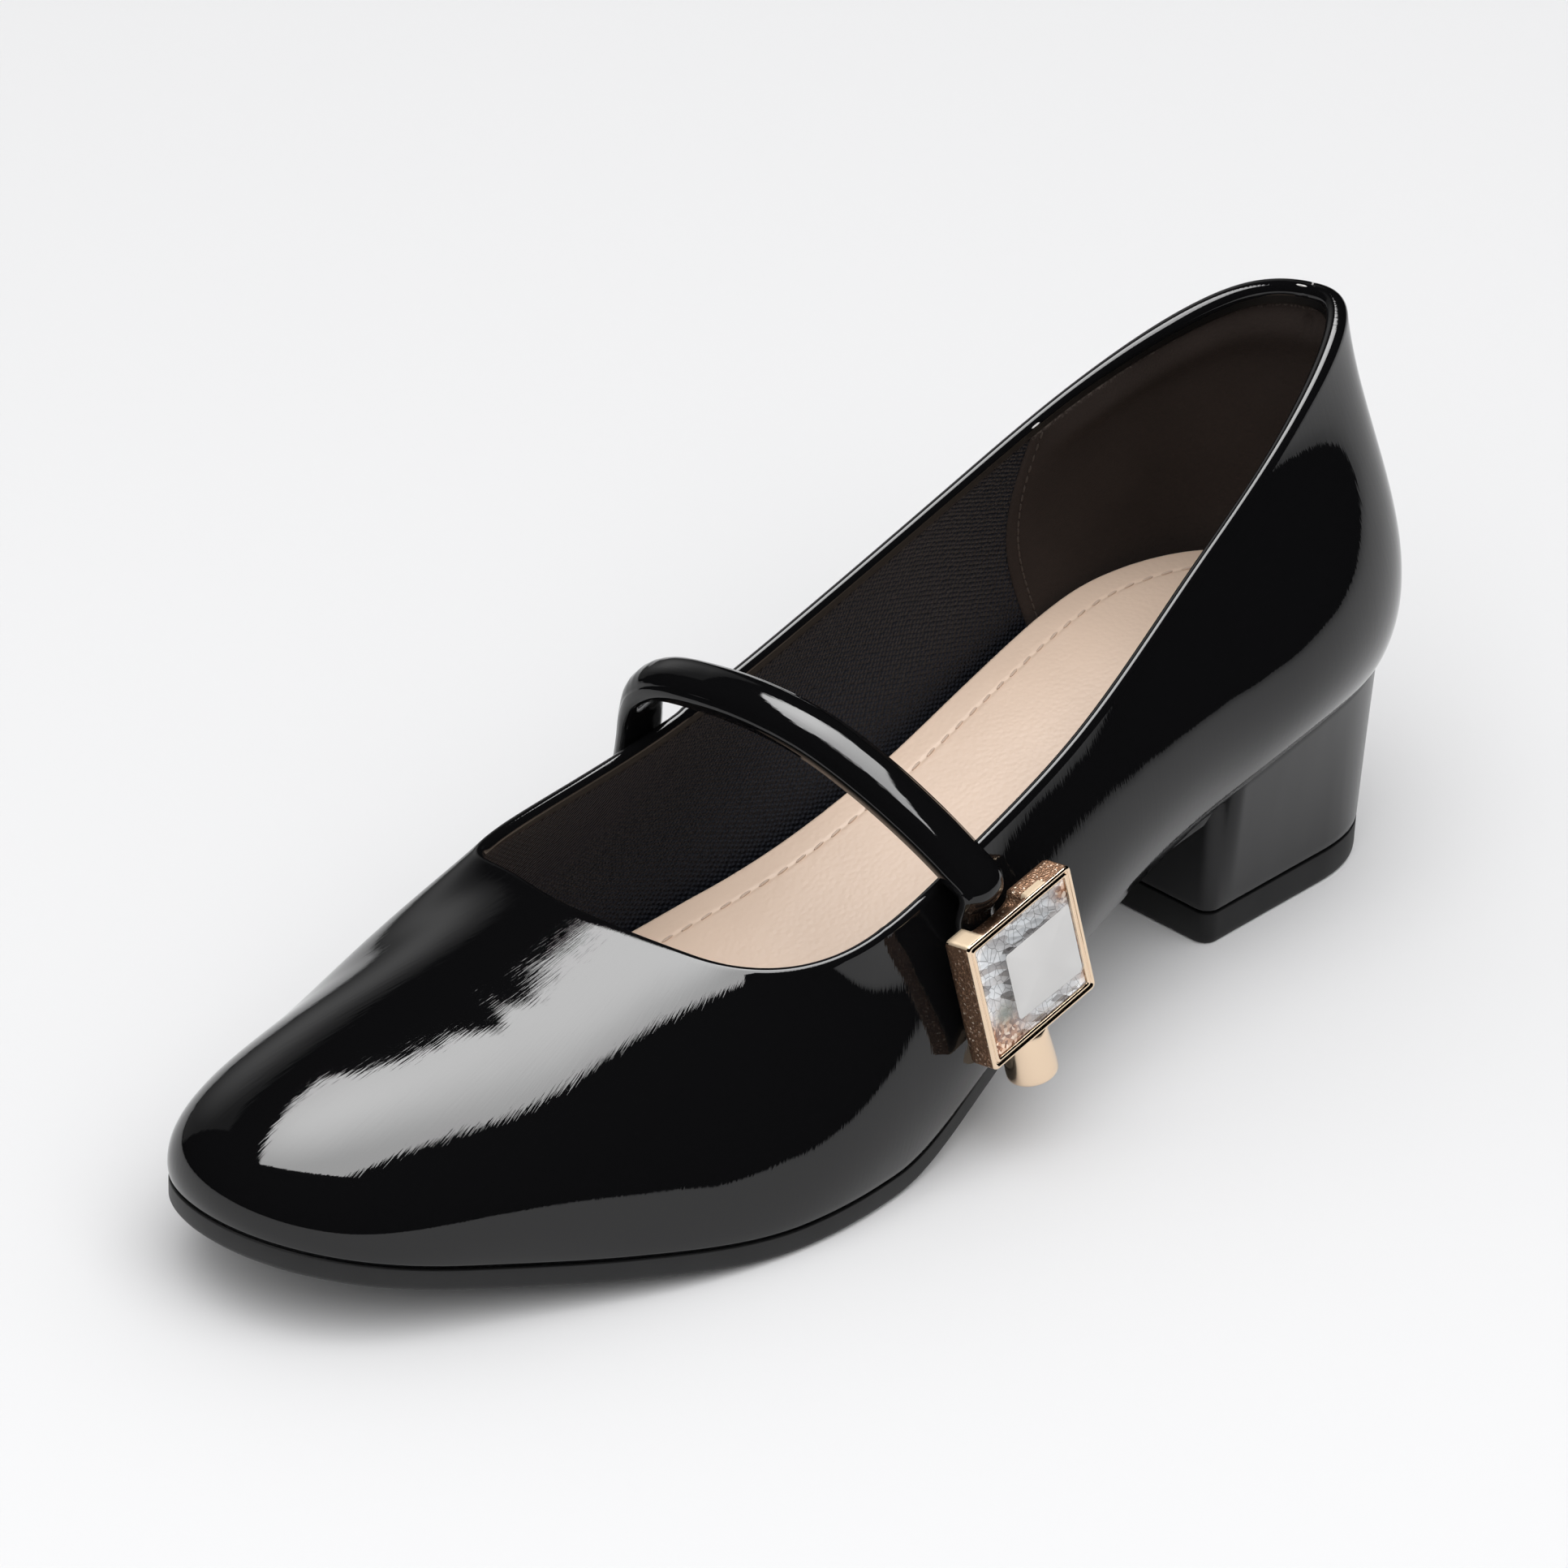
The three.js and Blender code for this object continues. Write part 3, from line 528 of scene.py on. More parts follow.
def suede():
    """Heel grip: flocked microfibre, brown-black and matt. Along its top pale specks are painted in
    as sheen, where light grazes the nap."""
    made, tree, shader = material(
        "heel_grip_suede",
        Base_Color=chosen("grip"),
        Roughness=0.95,
        Sheen_Weight=0.06,
        Specular_IOR_Level=0.1,
        Sheen_Roughness=0.45,
        Sheen_Tint=linear("#8d8580"),
    )
    nap = add(tree, "ShaderNodeTexNoise", {"Vector": place(tree, (2.2, 2.2, 2.2))}, Scale=1.0, Detail=3.0)
    fuzz = add(tree, "ShaderNodeBump", {"Height": nap.outputs["Fac"]}, Distance=1.6e-4)
    tree.links.new(fuzz.outputs["Normal"], shader.inputs["Normal"])
    cloud = add(tree, "ShaderNodeTexNoise", {"Vector": place(tree, (0.03, 0.03, 0.03))}, Scale=1.0)
    light, dark = tinted(chosen("grip"), 1.15), tinted(chosen("grip"), 0.8)
    shade = ramp(tree, cloud.outputs["Fac"], (0.35, dark), (0.65, light))
    # painted sheen: the nap's pattern, times the band along the top, turns the colour pale (#7a716b) in
    # specks where light grazes
    worn = add(tree, "ShaderNodeAttribute", attribute_name="worn").outputs["Fac"]
    sheen_specks = add(
        tree, "ShaderNodeMath", {0: nap.outputs["Fac"], 1: worn}, operation="MULTIPLY"
    )
    pale = add(
        tree, "ShaderNodeMapRange", {"Value": sheen_specks.outputs["Value"]}, From_Min=0.22, From_Max=0.62
    )
    mixed = add(
        tree,
        "ShaderNodeMixRGB",
        {"Fac": pale.outputs["Result"], "Color1": shade},
        Color2=linear("#7a716b"),
    )
    tree.links.new(mixed.outputs["Color"], shader.inputs["Base Color"])
    return made


def sock():
    """Insole: thin nude polyurethane leather on foam, matt, with a fine embossed grain."""
    made, tree, shader = material("nude_insole", Base_Color=chosen("insole"), Roughness=0.5, IOR=1.45)
    cells = add(
        tree,
        "ShaderNodeTexVoronoi",
        {"Vector": place(tree, (1.1, 1.1, 0.2))},
        feature="SMOOTH_F1",
        Scale=1.0,
        Smoothness=0.5,
    )
    fine = add(
        tree, "ShaderNodeBump", {"Height": cells.outputs["Distance"]}, invert=True, Distance=6e-5
    )
    cloud = add(
        tree, "ShaderNodeTexNoise", {"Vector": place(tree, (0.03, 0.03, 0.03))}, Scale=1.0, Detail=2.0
    )
    dent = add(
        tree,
        "ShaderNodeBump",
        {"Height": cloud.outputs["Fac"], "Normal": fine.outputs["Normal"]},
        Distance=8e-4,
    )
    tree.links.new(dent.outputs["Normal"], shader.inputs["Normal"])
    light, dark = tinted(chosen("insole"), 1.03), tinted(chosen("insole"), 0.96)
    shade = ramp(tree, cloud.outputs["Fac"], (0.35, dark), (0.65, light))
    tree.links.new(shade, shader.inputs["Base Color"])
    return made


def rubber(name, ior):
    """Moulded thermoplastic rubber: black, satin, with the mould's fine sparked texture, and a
    haze of more and less polished places."""
    made, tree, shader = material(name, Base_Color=chosen("sole"), Roughness=0.5, IOR=ior)
    spark = add(tree, "ShaderNodeTexNoise", {"Vector": place(tree, (4, 4, 4))}, Scale=1.0, Detail=3.0)
    fine = add(tree, "ShaderNodeBump", {"Height": spark.outputs["Fac"]}, Distance=1.5e-5)
    tree.links.new(fine.outputs["Normal"], shader.inputs["Normal"])
    haze = add(
        tree, "ShaderNodeTexNoise", {"Vector": place(tree, (0.15, 0.15, 0.15))}, Scale=1.0, Detail=3.0
    )
    spread = add(
        tree,
        "ShaderNodeMapRange",
        {"Value": haze.outputs["Fac"]},
        To_Min=0.44,
        To_Max=0.58,
    )
    tree.links.new(spread.outputs["Result"], shader.inputs["Roughness"])
    return made


def heel_cover():
    """Heel: moulded plastic wrapped in a thinner black film than the upper, semi-gloss."""
    made, tree, shader = material("heel_wrap", Base_Color=chosen("heel"), Roughness=0.25, IOR=1.45)
    sway = add(tree, "ShaderNodeTexNoise", {"Vector": place(tree, (0.1, 0.1, 0.03))}, Scale=1.0)
    soft = add(tree, "ShaderNodeBump", {"Height": sway.outputs["Fac"]}, Distance=1e-4)
    tree.links.new(soft.outputs["Normal"], shader.inputs["Normal"])
    return made


def thread(name, tone):
    """Spun polyester thread: matt, with a ply twist."""
    made, tree, shader = material(name, Base_Color=tone, Roughness=0.7)
    twist = add(
        tree, "ShaderNodeTexWave", {"Vector": place(tree, (1, 1, 1))}, Scale=1.5, Distortion=1.0
    )
    ply = add(tree, "ShaderNodeBump", {"Height": twist.outputs["Fac"]}, Distance=5e-5)
    tree.links.new(ply.outputs["Normal"], shader.inputs["Normal"])
    return made


def gold():
    """Cast zinc plated in pale rose gold and polished, faintly rippled by the polishing."""
    made, tree, shader = material(
        "rose_gold_plate", Base_Color=chosen("plating"), Metallic=1.0, Roughness=0.14
    )
    ripple = add(
        tree, "ShaderNodeTexNoise", {"Vector": place(tree, (0.25, 0.25, 0.25))}, Scale=1.0, Detail=2.0
    )
    soft = add(tree, "ShaderNodeBump", {"Height": ripple.outputs["Fac"]}, Distance=6e-5)
    tree.links.new(soft.outputs["Normal"], shader.inputs["Normal"])
    return made


def bronze():
    """The frame's sides: the same plate, shot-blasted and lacquered darker, so it glitters."""
    made, tree, shader = material(
        "speckled_bronze", Base_Color=chosen("sides"), Metallic=0.9, Roughness=0.5
    )
    grit = add(tree, "ShaderNodeTexVoronoi", {"Vector": place(tree, (3, 3, 3))}, Scale=1.0)
    fleck = ramp(
        tree,
        grit.outputs["Color"],
        (0.6, tinted(chosen("sides"), 0.72)),
        (0.82, tinted(chosen("sides"), 1.4)),
        (0.95, linear("#FFF0DC")),
    )
    tree.links.new(fleck, shader.inputs["Base Color"])
    fine = add(tree, "ShaderNodeBump", {"Height": grit.outputs["Distance"]}, Distance=1e-4)
    tree.links.new(fine.outputs["Normal"], shader.inputs["Normal"])
    return made


def satin():
    """Where the plate is left satin, beside the notch."""
    return material(
        "satin_plate", Base_Color=linear("#E3CDB0"), Metallic=0.7, Roughness=0.45
    )[0]


def crystal():
    """Pressed glass, clear and polished: light passes to the foil, and its facets mirror a
    Fresnel share of the room."""
    made, tree, shader = material(
        "clear_crystal", Base_Color=linear("#FFFFFF"), Metallic=1.0, Roughness=0.02
    )
    clear = add(tree, "ShaderNodeBsdfTransparent", Color=linear("#F3F5F7"))
    mirror = add(tree, "ShaderNodeFresnel", IOR=1.75).outputs["Fac"]
    inside = add(tree, "ShaderNodeNewGeometry").outputs["Backfacing"]
    outer = add(tree, "ShaderNodeMath", {1: inside}, operation="SUBTRACT")
    outer.inputs[0].default_value = 1.0
    share = add(
        tree, "ShaderNodeMath", {0: mirror, 1: outer.outputs["Value"]}, operation="MULTIPLY"
    )
    glass = add(
        tree,
        "ShaderNodeMixShader",
        {0: share.outputs["Value"], 1: clear.outputs["BSDF"], 2: shader.outputs["BSDF"]},
    )
    tree.links.new(glass.outputs["Shader"], tree.nodes["Material Output"].inputs["Surface"])
    return made


def foil():
    """The stone's backing: crinkled silver foil, with painted reflections in pale and grey shards,
    painted shade in the folds between them, painted copper glints, and green and brown tints in places."""
    made, tree, shader = material(
        "mirror_foil", Base_Color=linear("#D7D5D4"), Metallic=0.0, Roughness=0.3
    )
    streaks = add(
        tree,
        "ShaderNodeTexVoronoi",
        {"Vector": place(tree, (0.3, 0.95, 1), uv=True, turn=-25)},
        voronoi_dimensions="2D",
        Scale=1.0,
    )
    bump = add(tree, "ShaderNodeBump", {"Height": streaks.outputs["Distance"]}, Distance=3e-4)
    tree.links.new(bump.outputs["Normal"], shader.inputs["Normal"])
    # painted reflection: the cells are painted as pale, grey and dark shards of what the mirror foil
    # would show; only the crinkle bump is real
    colour = ramp(
        tree,
        streaks.outputs["Color"],
        (0.14, linear("#6E6866")),
        (0.26, linear("#B9B3B1")),
        (0.38, linear("#F4F1EF")),
        (0.66, linear("#FFFFFF")),
        (0.8, linear("#D5CCC7")),
        (0.93, linear("#8E837D")),
    )
    shards = add(
        tree,
        "ShaderNodeTexVoronoi",
        {"Vector": place(tree, (0.75, 0.5, 1), uv=True, turn=15)},
        voronoi_dimensions="2D",
        feature="DISTANCE_TO_EDGE",
        Scale=1.0,
    )
    # painted shade: the folds between the shards are darkened to #6A6463
    painted_fold_shade = ramp(tree, shards.outputs["Distance"], (0.0, linear("#6A6463")), (0.07, linear("#FFFFFF")))
    colour = add(
        tree, "ShaderNodeMixRGB", {"Color1": colour, "Color2": painted_fold_shade}, blend_type="MULTIPLY", Fac=0.75
    ).outputs["Color"]
    # painted highlights: copper glints, laid on where the copper mask is
    glint_cells = add(
        tree,
        "ShaderNodeTexVoronoi",
        {"Vector": place(tree, (1.7, 1.7, 1), uv=True)},
        voronoi_dimensions="2D",
        Scale=1.0,
    )
    painted_glint_colours = ramp(
        tree,
        glint_cells.outputs["Color"],
        (0.3, linear("#8a5638")),
        (0.6, linear("#d39d78")),
        (0.85, linear("#ffe6cf")),
    )
    tints = {"copper": painted_glint_colours, "green": linear("#7F8C80"), "brown": linear("#8F7068")}
    for name, tint in tints.items():
        amount = add(tree, "ShaderNodeAttribute", attribute_name=name).outputs["Fac"]
        links = {"Fac": amount, "Color1": colour}
        if isinstance(tint, tuple):
            mixed = add(tree, "ShaderNodeMixRGB", links, Color2=tint)
        else:
            mixed = add(tree, "ShaderNodeMixRGB", {**links, "Color2": tint})
        colour = mixed.outputs["Color"]
    tree.links.new(colour, shader.inputs["Base Color"])
    return made


def plate():
    """The bare plate at the stone's table: white enamel."""
    made, tree, shader = material("white_plate", Base_Color=chosen("enamel"), Roughness=0.15)
    cloud = add(
        tree, "ShaderNodeTexNoise", {"Vector": place(tree, (0.08, 0.08, 0.08))}, Scale=1.0, Detail=1.0
    )
    light, dark = tinted(chosen("enamel"), 1.06), tinted(chosen("enamel"), 0.93)
    tint = ramp(tree, cloud.outputs["Fac"], (0.35, dark), (0.65, light))
    tree.links.new(tint, shader.inputs["Base Color"])
    return made


# ---------------------------------------------------------------- sizes a user would change


def length(name, description, default):
    """A length property, its default in millimetres."""
    return bpy.props.FloatProperty(
        name=name, description=description, default=default * MM, unit="LENGTH"
    )


def colour(name, description, code):
    """A colour property, its default an sRGB hex value."""
    return bpy.props.FloatVectorProperty(
        name=name, description=description, subtype="COLOR", size=4, min=0, max=1, default=linear(code)
    )


class PumpColours(bpy.types.PropertyGroup):
    patent: colour("Patent", "Film of the upper and the strap", "#0C0C0D")
    heel: colour("Heel", "Wrap of the heel", "#0A0A0C")
    lining: colour("Lining", "Pebbled lining of the sides and the vamp", "#212329")
    grip: colour("Heel grip", "Flocked panel round the back", "#342D2A")
    insole: colour("Insole", "Insole's cover", "#EFD4BE")
    insole_thread: colour("Insole thread", "Stitches round the insole", "#DCC3B0")
    sole: colour("Sole", "Outsole and top piece", "#0D0D0E")
    plating: colour("Plating", "Polished frame and stem", "#F1D8BC")
    sides: colour("Frame sides", "Blasted sides of the frame", "#9A7860")
    enamel: colour("Plate", "Enamelled plate at the stone's table", "#C6C5C4")


class PumpLast(bpy.types.PropertyGroup):
    length: length("Length", "Feather edge from back to tip", 243)
    ball_width: length("Ball width", "Feather edge across the joints", 84)
    heel_height: length("Heel height", "Feather edge at the back", 38.5)
    back_height: length("Back height", "Collar at the back", 95)
    wall: length("Wall", "Upper and lining together", 1.8)


class PumpSole(bpy.types.PropertyGroup):
    thickness: length("Sole thickness", "Outsole's edge", 4.1)
    top_piece: length("Top piece", "The heel's lowest layer", 6)
    insole: length("Insole thickness", "Sock and foam at the edge", 2.2)


class PumpStrap(bpy.types.PropertyGroup):
    width: length("Width", "Strap's width", 9)
    thickness: length("Thickness", "Strap at the middle of its dome", 4.8)


class PumpBuckle(bpy.types.PropertyGroup):
    width: length("Width", "Frame along the shoe", 25.2)
    height: length("Height", "Frame up the shoe", 23.4)
    depth: length("Depth", "Frame from front to back", 5.2)
    rim: length("Rim", "Width of the rim round the stone", 1.6)


# ---------------------------------------------------------------- pieces

STATIONS = 640  # round the upper
GIRTH = 560.0  # roughly the upper's length round the shoe
TOP_ROLL = 1.1  # radius of the topline's edge
BACK_ROLL = 1.8  # and where it is padded, round the back
FACING = 1.7  # how far the patent turns down inside the topline
SHELL = 1.05  # patent and its backing


# Small dents beside the buckle: places along the shoe and up it, in millimetres.
DENTS = ((108.4, 42.2), (110.2, 40.6), (109.2, 38.2), (111.6, 43.4))


def crease(u, v, points):
    """Relief of the outer wall, outwards, in millimetres.

    A soft trough crosses the vamp, with a ridge before it; a lasting seam with short puckers
    runs down the inner side behind the strap; a fine seam closes the back; the wall draws in a
    little above the sole; and a few small dents lie beside the buckle.
    """
    x, y, z = points[..., 0], points[..., 1], points[..., 2]
    across = x - (163.5 - 0.12 * (y - 6))
    vamp = smooth(x, 135, 145) * smooth(y, -22, -6) * (1 - smooth(y, 20, 30))
    relief = vamp * (-0.035 * bell(across, 0, 2.6) + 0.02 * bell(across, 5.5, 4.5))
    inner = (y < 0) & (x > 60) & (x < 130)
    seam_x = 91 - 2.2 * np.sin(np.pi * np.clip((z - 22) / 30, 0, 1)) + 6 * smooth(-z, -24, -8)
    off = x - seam_x
    down = smooth(-z, -50, -44)
    ripple = np.sin(z * 2 * np.pi / 2.9 + 1.3 * np.sin(z * 0.9) + 0.5 * off)
    pucker = 0.09 * ripple * bell(off, -1.4, 1.5) * smooth(z, 26, 36)
    relief += inner * (-0.42 * bell(off, 0, 0.55) + 0.25 * bell(off, 1.2, 1.0) + pucker * down)
    from_back = np.minimum(np.mod(u, 1), 1 - np.mod(u, 1)) * GIRTH
    relief += -0.16 * bell(from_back, 0, 0.45)
    relief += -0.15 * bell(v, 0, 0.02)
    for dent_x, dent_z in DENTS:
        relief += (y > 0) * -0.13 * bell(x - 0.6 * (z - dent_z), dent_x, 0.55) * bell(z, dent_z, 1.1)
    return relief


def roll_radius(row):
    """Radius of the topline's edge at rows of the last: fuller where it is padded."""
    return TOP_ROLL + (BACK_ROLL - TOP_ROLL) * (1 - smooth(row[..., 2], -22, 14))


def outer_skin(last, u, v):
    """Points of the patent's outer face with its relief, and the smooth wall's normals."""
    points = last.wall(u, v)
    normals = last.outward(u, v)
    return points + normals * crease(u, v, points)[..., None], normals


class PUMP_OT_upper(bpy.types.Operator):
    """Patent upper: the wall's outer face, a rolled topline, a facing turned down inside it and
    the wall's back, as one closed skin round the foot."""

    bl_idname = "pump.upper"
    bl_label = "Upper"

    def execute(self, context):
        last = Last(context.scene.pump_last)
        u = np.arange(STATIONS)[:, None] / STATIONS
        row = last.section(u)
        radius = roll_radius(row)
        v_top = 1 - radius / arrival(row)
        v = v_top * np.linspace(0, 1, 90) ** 0.9
        skin, normals = outer_skin(last, u, v)
        end, out = skin[:, -1], normals[:, -1]
        up = unit(last.wall(u, v_top)[:, 0] - last.wall(u, v_top - 0.01)[:, 0])
        turn = np.linspace(0, np.pi, 12)[1:-1, None]
        middle = (end - out * radius)[:, None]
        around = out[:, None] * np.cos(turn) + up[:, None] * np.sin(turn)
        roll = middle + radius[..., None] * around
        v_facing = v_top - FACING / arrival(row)
        down = v_top + (v_facing - v_top) * np.linspace(0, 1, 6)
        facing = last.wall(u, down) - last.outward(u, down) * 2 * radius[..., None]
        back = v_facing * np.linspace(0.995, 0.0, 12)
        inside = last.wall(u, back) - last.outward(u, back) * SHELL
        rings = np.concatenate([skin, roll, facing, inside], 1)
        points, faces = torus(rings)
        uv = wall_places(rings, faces[0])
        piece = new_piece("upper_patent", points, faces, patent(), ["upper"], uv)
        piece.data.materials.append(turned_edge())
        column = faces[0].min(1) % rings.shape[1]
        hidden = column >= skin.shape[1] + roll.shape[1]
        piece.data.polygons.foreach_set("material_index", hidden.astype(np.int32))
        return {"FINISHED"}


def wall_places(rings, quads):
    """UV of each corner in metres: u round the shoe, v along each ring's own length."""
    steps = np.linalg.norm(np.diff(rings, axis=1), axis=2)
    up = np.concatenate([np.zeros((len(rings), 1)), np.cumsum(steps, 1)], 1)
    count = rings.shape[1]
    station = quads // count
    wraps = (station == 0) & (station.max(1, keepdims=True) == len(rings) - 1)
    along = (station + wraps * len(rings)) * GIRTH / len(rings)
    return np.stack([along, up.ravel()[quads]], -1).reshape(-1, 2) * MM


class PUMP_OT_lining(bpy.types.Operator):
    """Lining: a thin pebbled skin inside the wall, from the facing down to the insole."""

    bl_idname = "pump.lining"
    bl_label = "Lining"

    def execute(self, context):
        sizes = context.scene.pump_last
        last = Last(sizes)
        u = np.arange(320)[:, None] / 320
        row = last.section(u)
        top = 1 - (roll_radius(row) + FACING - 0.25) / arrival(row)
        up = top * np.linspace(0.02, 1, 64)
        down = up[:, ::-1][:, ::4]
        deep = sizes.wall / MM + 0.05
        near = last.wall(u, up) - last.outward(u, up) * deep
        far = last.wall(u, down) - last.outward(u, down) * (SHELL + 0.1)
        rings = np.concatenate([near, far], 1)
        points, faces = torus(rings)
        new_piece("lining", points, faces, lining(), (), wall_places(rings, faces[0]))
        return {"FINISHED"}


GRIP_WIDTH = 110  # the heel grip's length round the back, from front edge to front edge

# Loose ends of white thread on the topline: where round the last (0 is the back, and the last row
# is at the grip's front edge), how far in over the roll in degrees, length, and how far it stands
# up: 1 is straight up.
THREAD_ENDS = ((-0.004, 118, 2.2, 0), (0.0015, 95, 1.2, 1), (None, 150, 1.9, 0))


class PUMP_OT_heel_grip(bpy.types.Operator):
    """Heel grip: a flocked panel round the inside of the back, with a padded collar, a stitched
    front edge on each side and loose ends of thread on the topline over it."""

    bl_idname = "pump.heel_grip"
    bl_label = "Heel grip"
    front_x: length("Front edge", "Where its edges meet the topline", 17)

    def execute(self, context):
        sizes = context.scene.pump_last
        last = Last(sizes)
        outer, inner = last.u_at(self.front_x / MM, 1), last.u_at(self.front_x / MM, -1) - 1
        s = np.linspace(0, 1, 150)[:, None]
        v = np.linspace(0.03, 1, 70)[None, :]
        bow = 0.006 * np.sin(np.pi * v)
        u = outer + bow + (inner - outer - 2 * bow) * s
        row = last.section(u)
        v = v * (1 - (roll_radius(row) + FACING - 0.5) / arrival(row))
        wall = last.wall(u, v)
        normals = last.outward(u, v)
        from_top = (v.max(1, keepdims=True) - v) * arrival(row)
        edge = np.minimum(s, 1 - s) * GRIP_WIDTH
        padding = 0.35 + 1.5 * bell(from_top, 6.5, 4.5) * smooth(edge, 1, 16)
        padding = padding * smooth(edge, -0.4, 0.7) * smooth(from_top, -0.6, 1.6)
        pucker = bell((s - 0.5) * GRIP_WIDTH, 1, 1.3) * bell(from_top, 3, 3.5)
        padding = padding - 0.9 * pucker * (padding > 1)
        deep = sizes.wall / MM + 0.05
        front = wall - normals * (deep + padding)[..., None]
        back = wall - normals * (deep - 0.2)
        points, faces = slab(front, back)
        grip = new_piece("heel_grip", points, faces, suede())
        # painted sheen: the band along the top edge where pale specks are painted, as light grazes the
        # nap
        sheen_band = 0.62 * bell(from_top, 0.9, 0.7) + 0.25 * bell(from_top, 2.5, 1.5)
        worn = np.concatenate([sheen_band.ravel(), sheen_band.ravel()])
        layer = grip.data.attributes.new("worn", "FLOAT", "POINT")
        layer.data.foreach_set("value", worn.astype(np.float32))
        column = np.arange(3, 68, 3)
        lengths = np.full(len(column), 1.5)
        for side, at in (("outer", 3), ("inner", -4)):
            low, high, normal = front[at, column], front[at, column + 1], normals[at, column]
            along = unit(high - low)
            across = unit(np.cross(along, normal))
            points, faces = beads((low + high) / 2 - normal * 0.05, along, across, lengths, 0.2)
            made = thread("grip_thread", linear("#443B36"))
            new_piece("grip_stitches_" + side, points, faces, made)
        self.thread_ends(last, inner)
        return {"FINISHED"}

    def thread_ends(self, last, front):
        """Short white threads on the rolled topline."""
        u, lean, lengths, stands = np.array(
            [(front if row[0] is None else row[0], *row[1:]) for row in THREAD_ENDS], float
        ).T
        lean = np.radians(lean)[:, None]
        stands = stands[:, None]
        row = last.section(u)
        radius = roll_radius(row)
        v = 1 - radius / arrival(row)
        out = last.outward(u, v)
        up = unit(last.wall(u, v) - last.wall(u, v - 0.01))
        around = out * np.cos(lean) + up * np.sin(lean)
        centres = last.wall(u, v) - out * radius[:, None] + around * (radius + 0.08)[:, None]
        along = unit(last.wall(u + 1e-3, v) - last.wall(u - 1e-3, v))
        along = unit(along * (1 - 0.7 * stands) + up * stands)
        across = unit(np.cross(along, around + 0.01))
        points, faces = beads(centres, along, across, lengths, 0.17)
        made = thread("white_thread", linear("#D8D6D4"))
        new_piece("thread_ends", points, faces, made)


class PUMP_OT_topline_stitches(bpy.types.Operator):
    """A fine zigzag row that holds the facing's edge to the lining."""

    bl_idname = "pump.topline_stitches"
    bl_label = "Topline stitches"
    pitch: length("Pitch", "From one stitch to the next", 1.15)

    def execute(self, context):
        sizes = context.scene.pump_last
        last = Last(sizes)
        dense = np.linspace(0, 1, 4001)
        line = last.section(dense)[:, 2:5]
        run = np.concatenate([[0], np.cumsum(np.linalg.norm(np.diff(line, axis=0), axis=1))])
        count = int(run[-1] / (self.pitch / MM))
        u = np.interp(np.arange(count) * run[-1] / count, run, dense)
        x = last.section(u)[:, 2]
        u = u[x > 18]
        row = last.section(u)
        v = 1 - (roll_radius(row) + FACING + 0.55) / arrival(row)
        deep = sizes.wall / MM + 0.12
        centres = last.wall(u, v) - last.outward(u, v) * deep
        along = unit(last.wall(u + 1e-3, v) - last.wall(u - 1e-3, v))
        up = unit(last.wall(u, v + 0.01) - last.wall(u, v - 0.01))
        lean = np.where(np.arange(len(u)) % 2, 1, -1)[:, None]
        path = unit(along + 0.9 * lean * up)
        side = unit(np.cross(path, last.outward(u, v)))
        points, faces = beads(centres, path, side, np.full(len(u), 1.25), 0.13)
        made = thread("black_thread", linear("#2C2A2C"))
        new_piece("topline_stitches", points, faces, made)
        return {"FINISHED"}


GRIP_FOOT = 2  # how far inside the wall's own line the heel grip's foot keeps the insole
# The insole's edge stands this far in from the wall's inner face, and its underside this far above
# one wall's thickness over the feather edge.
EDGE_GAP = 0.25
UNDER_GAP = 0.4


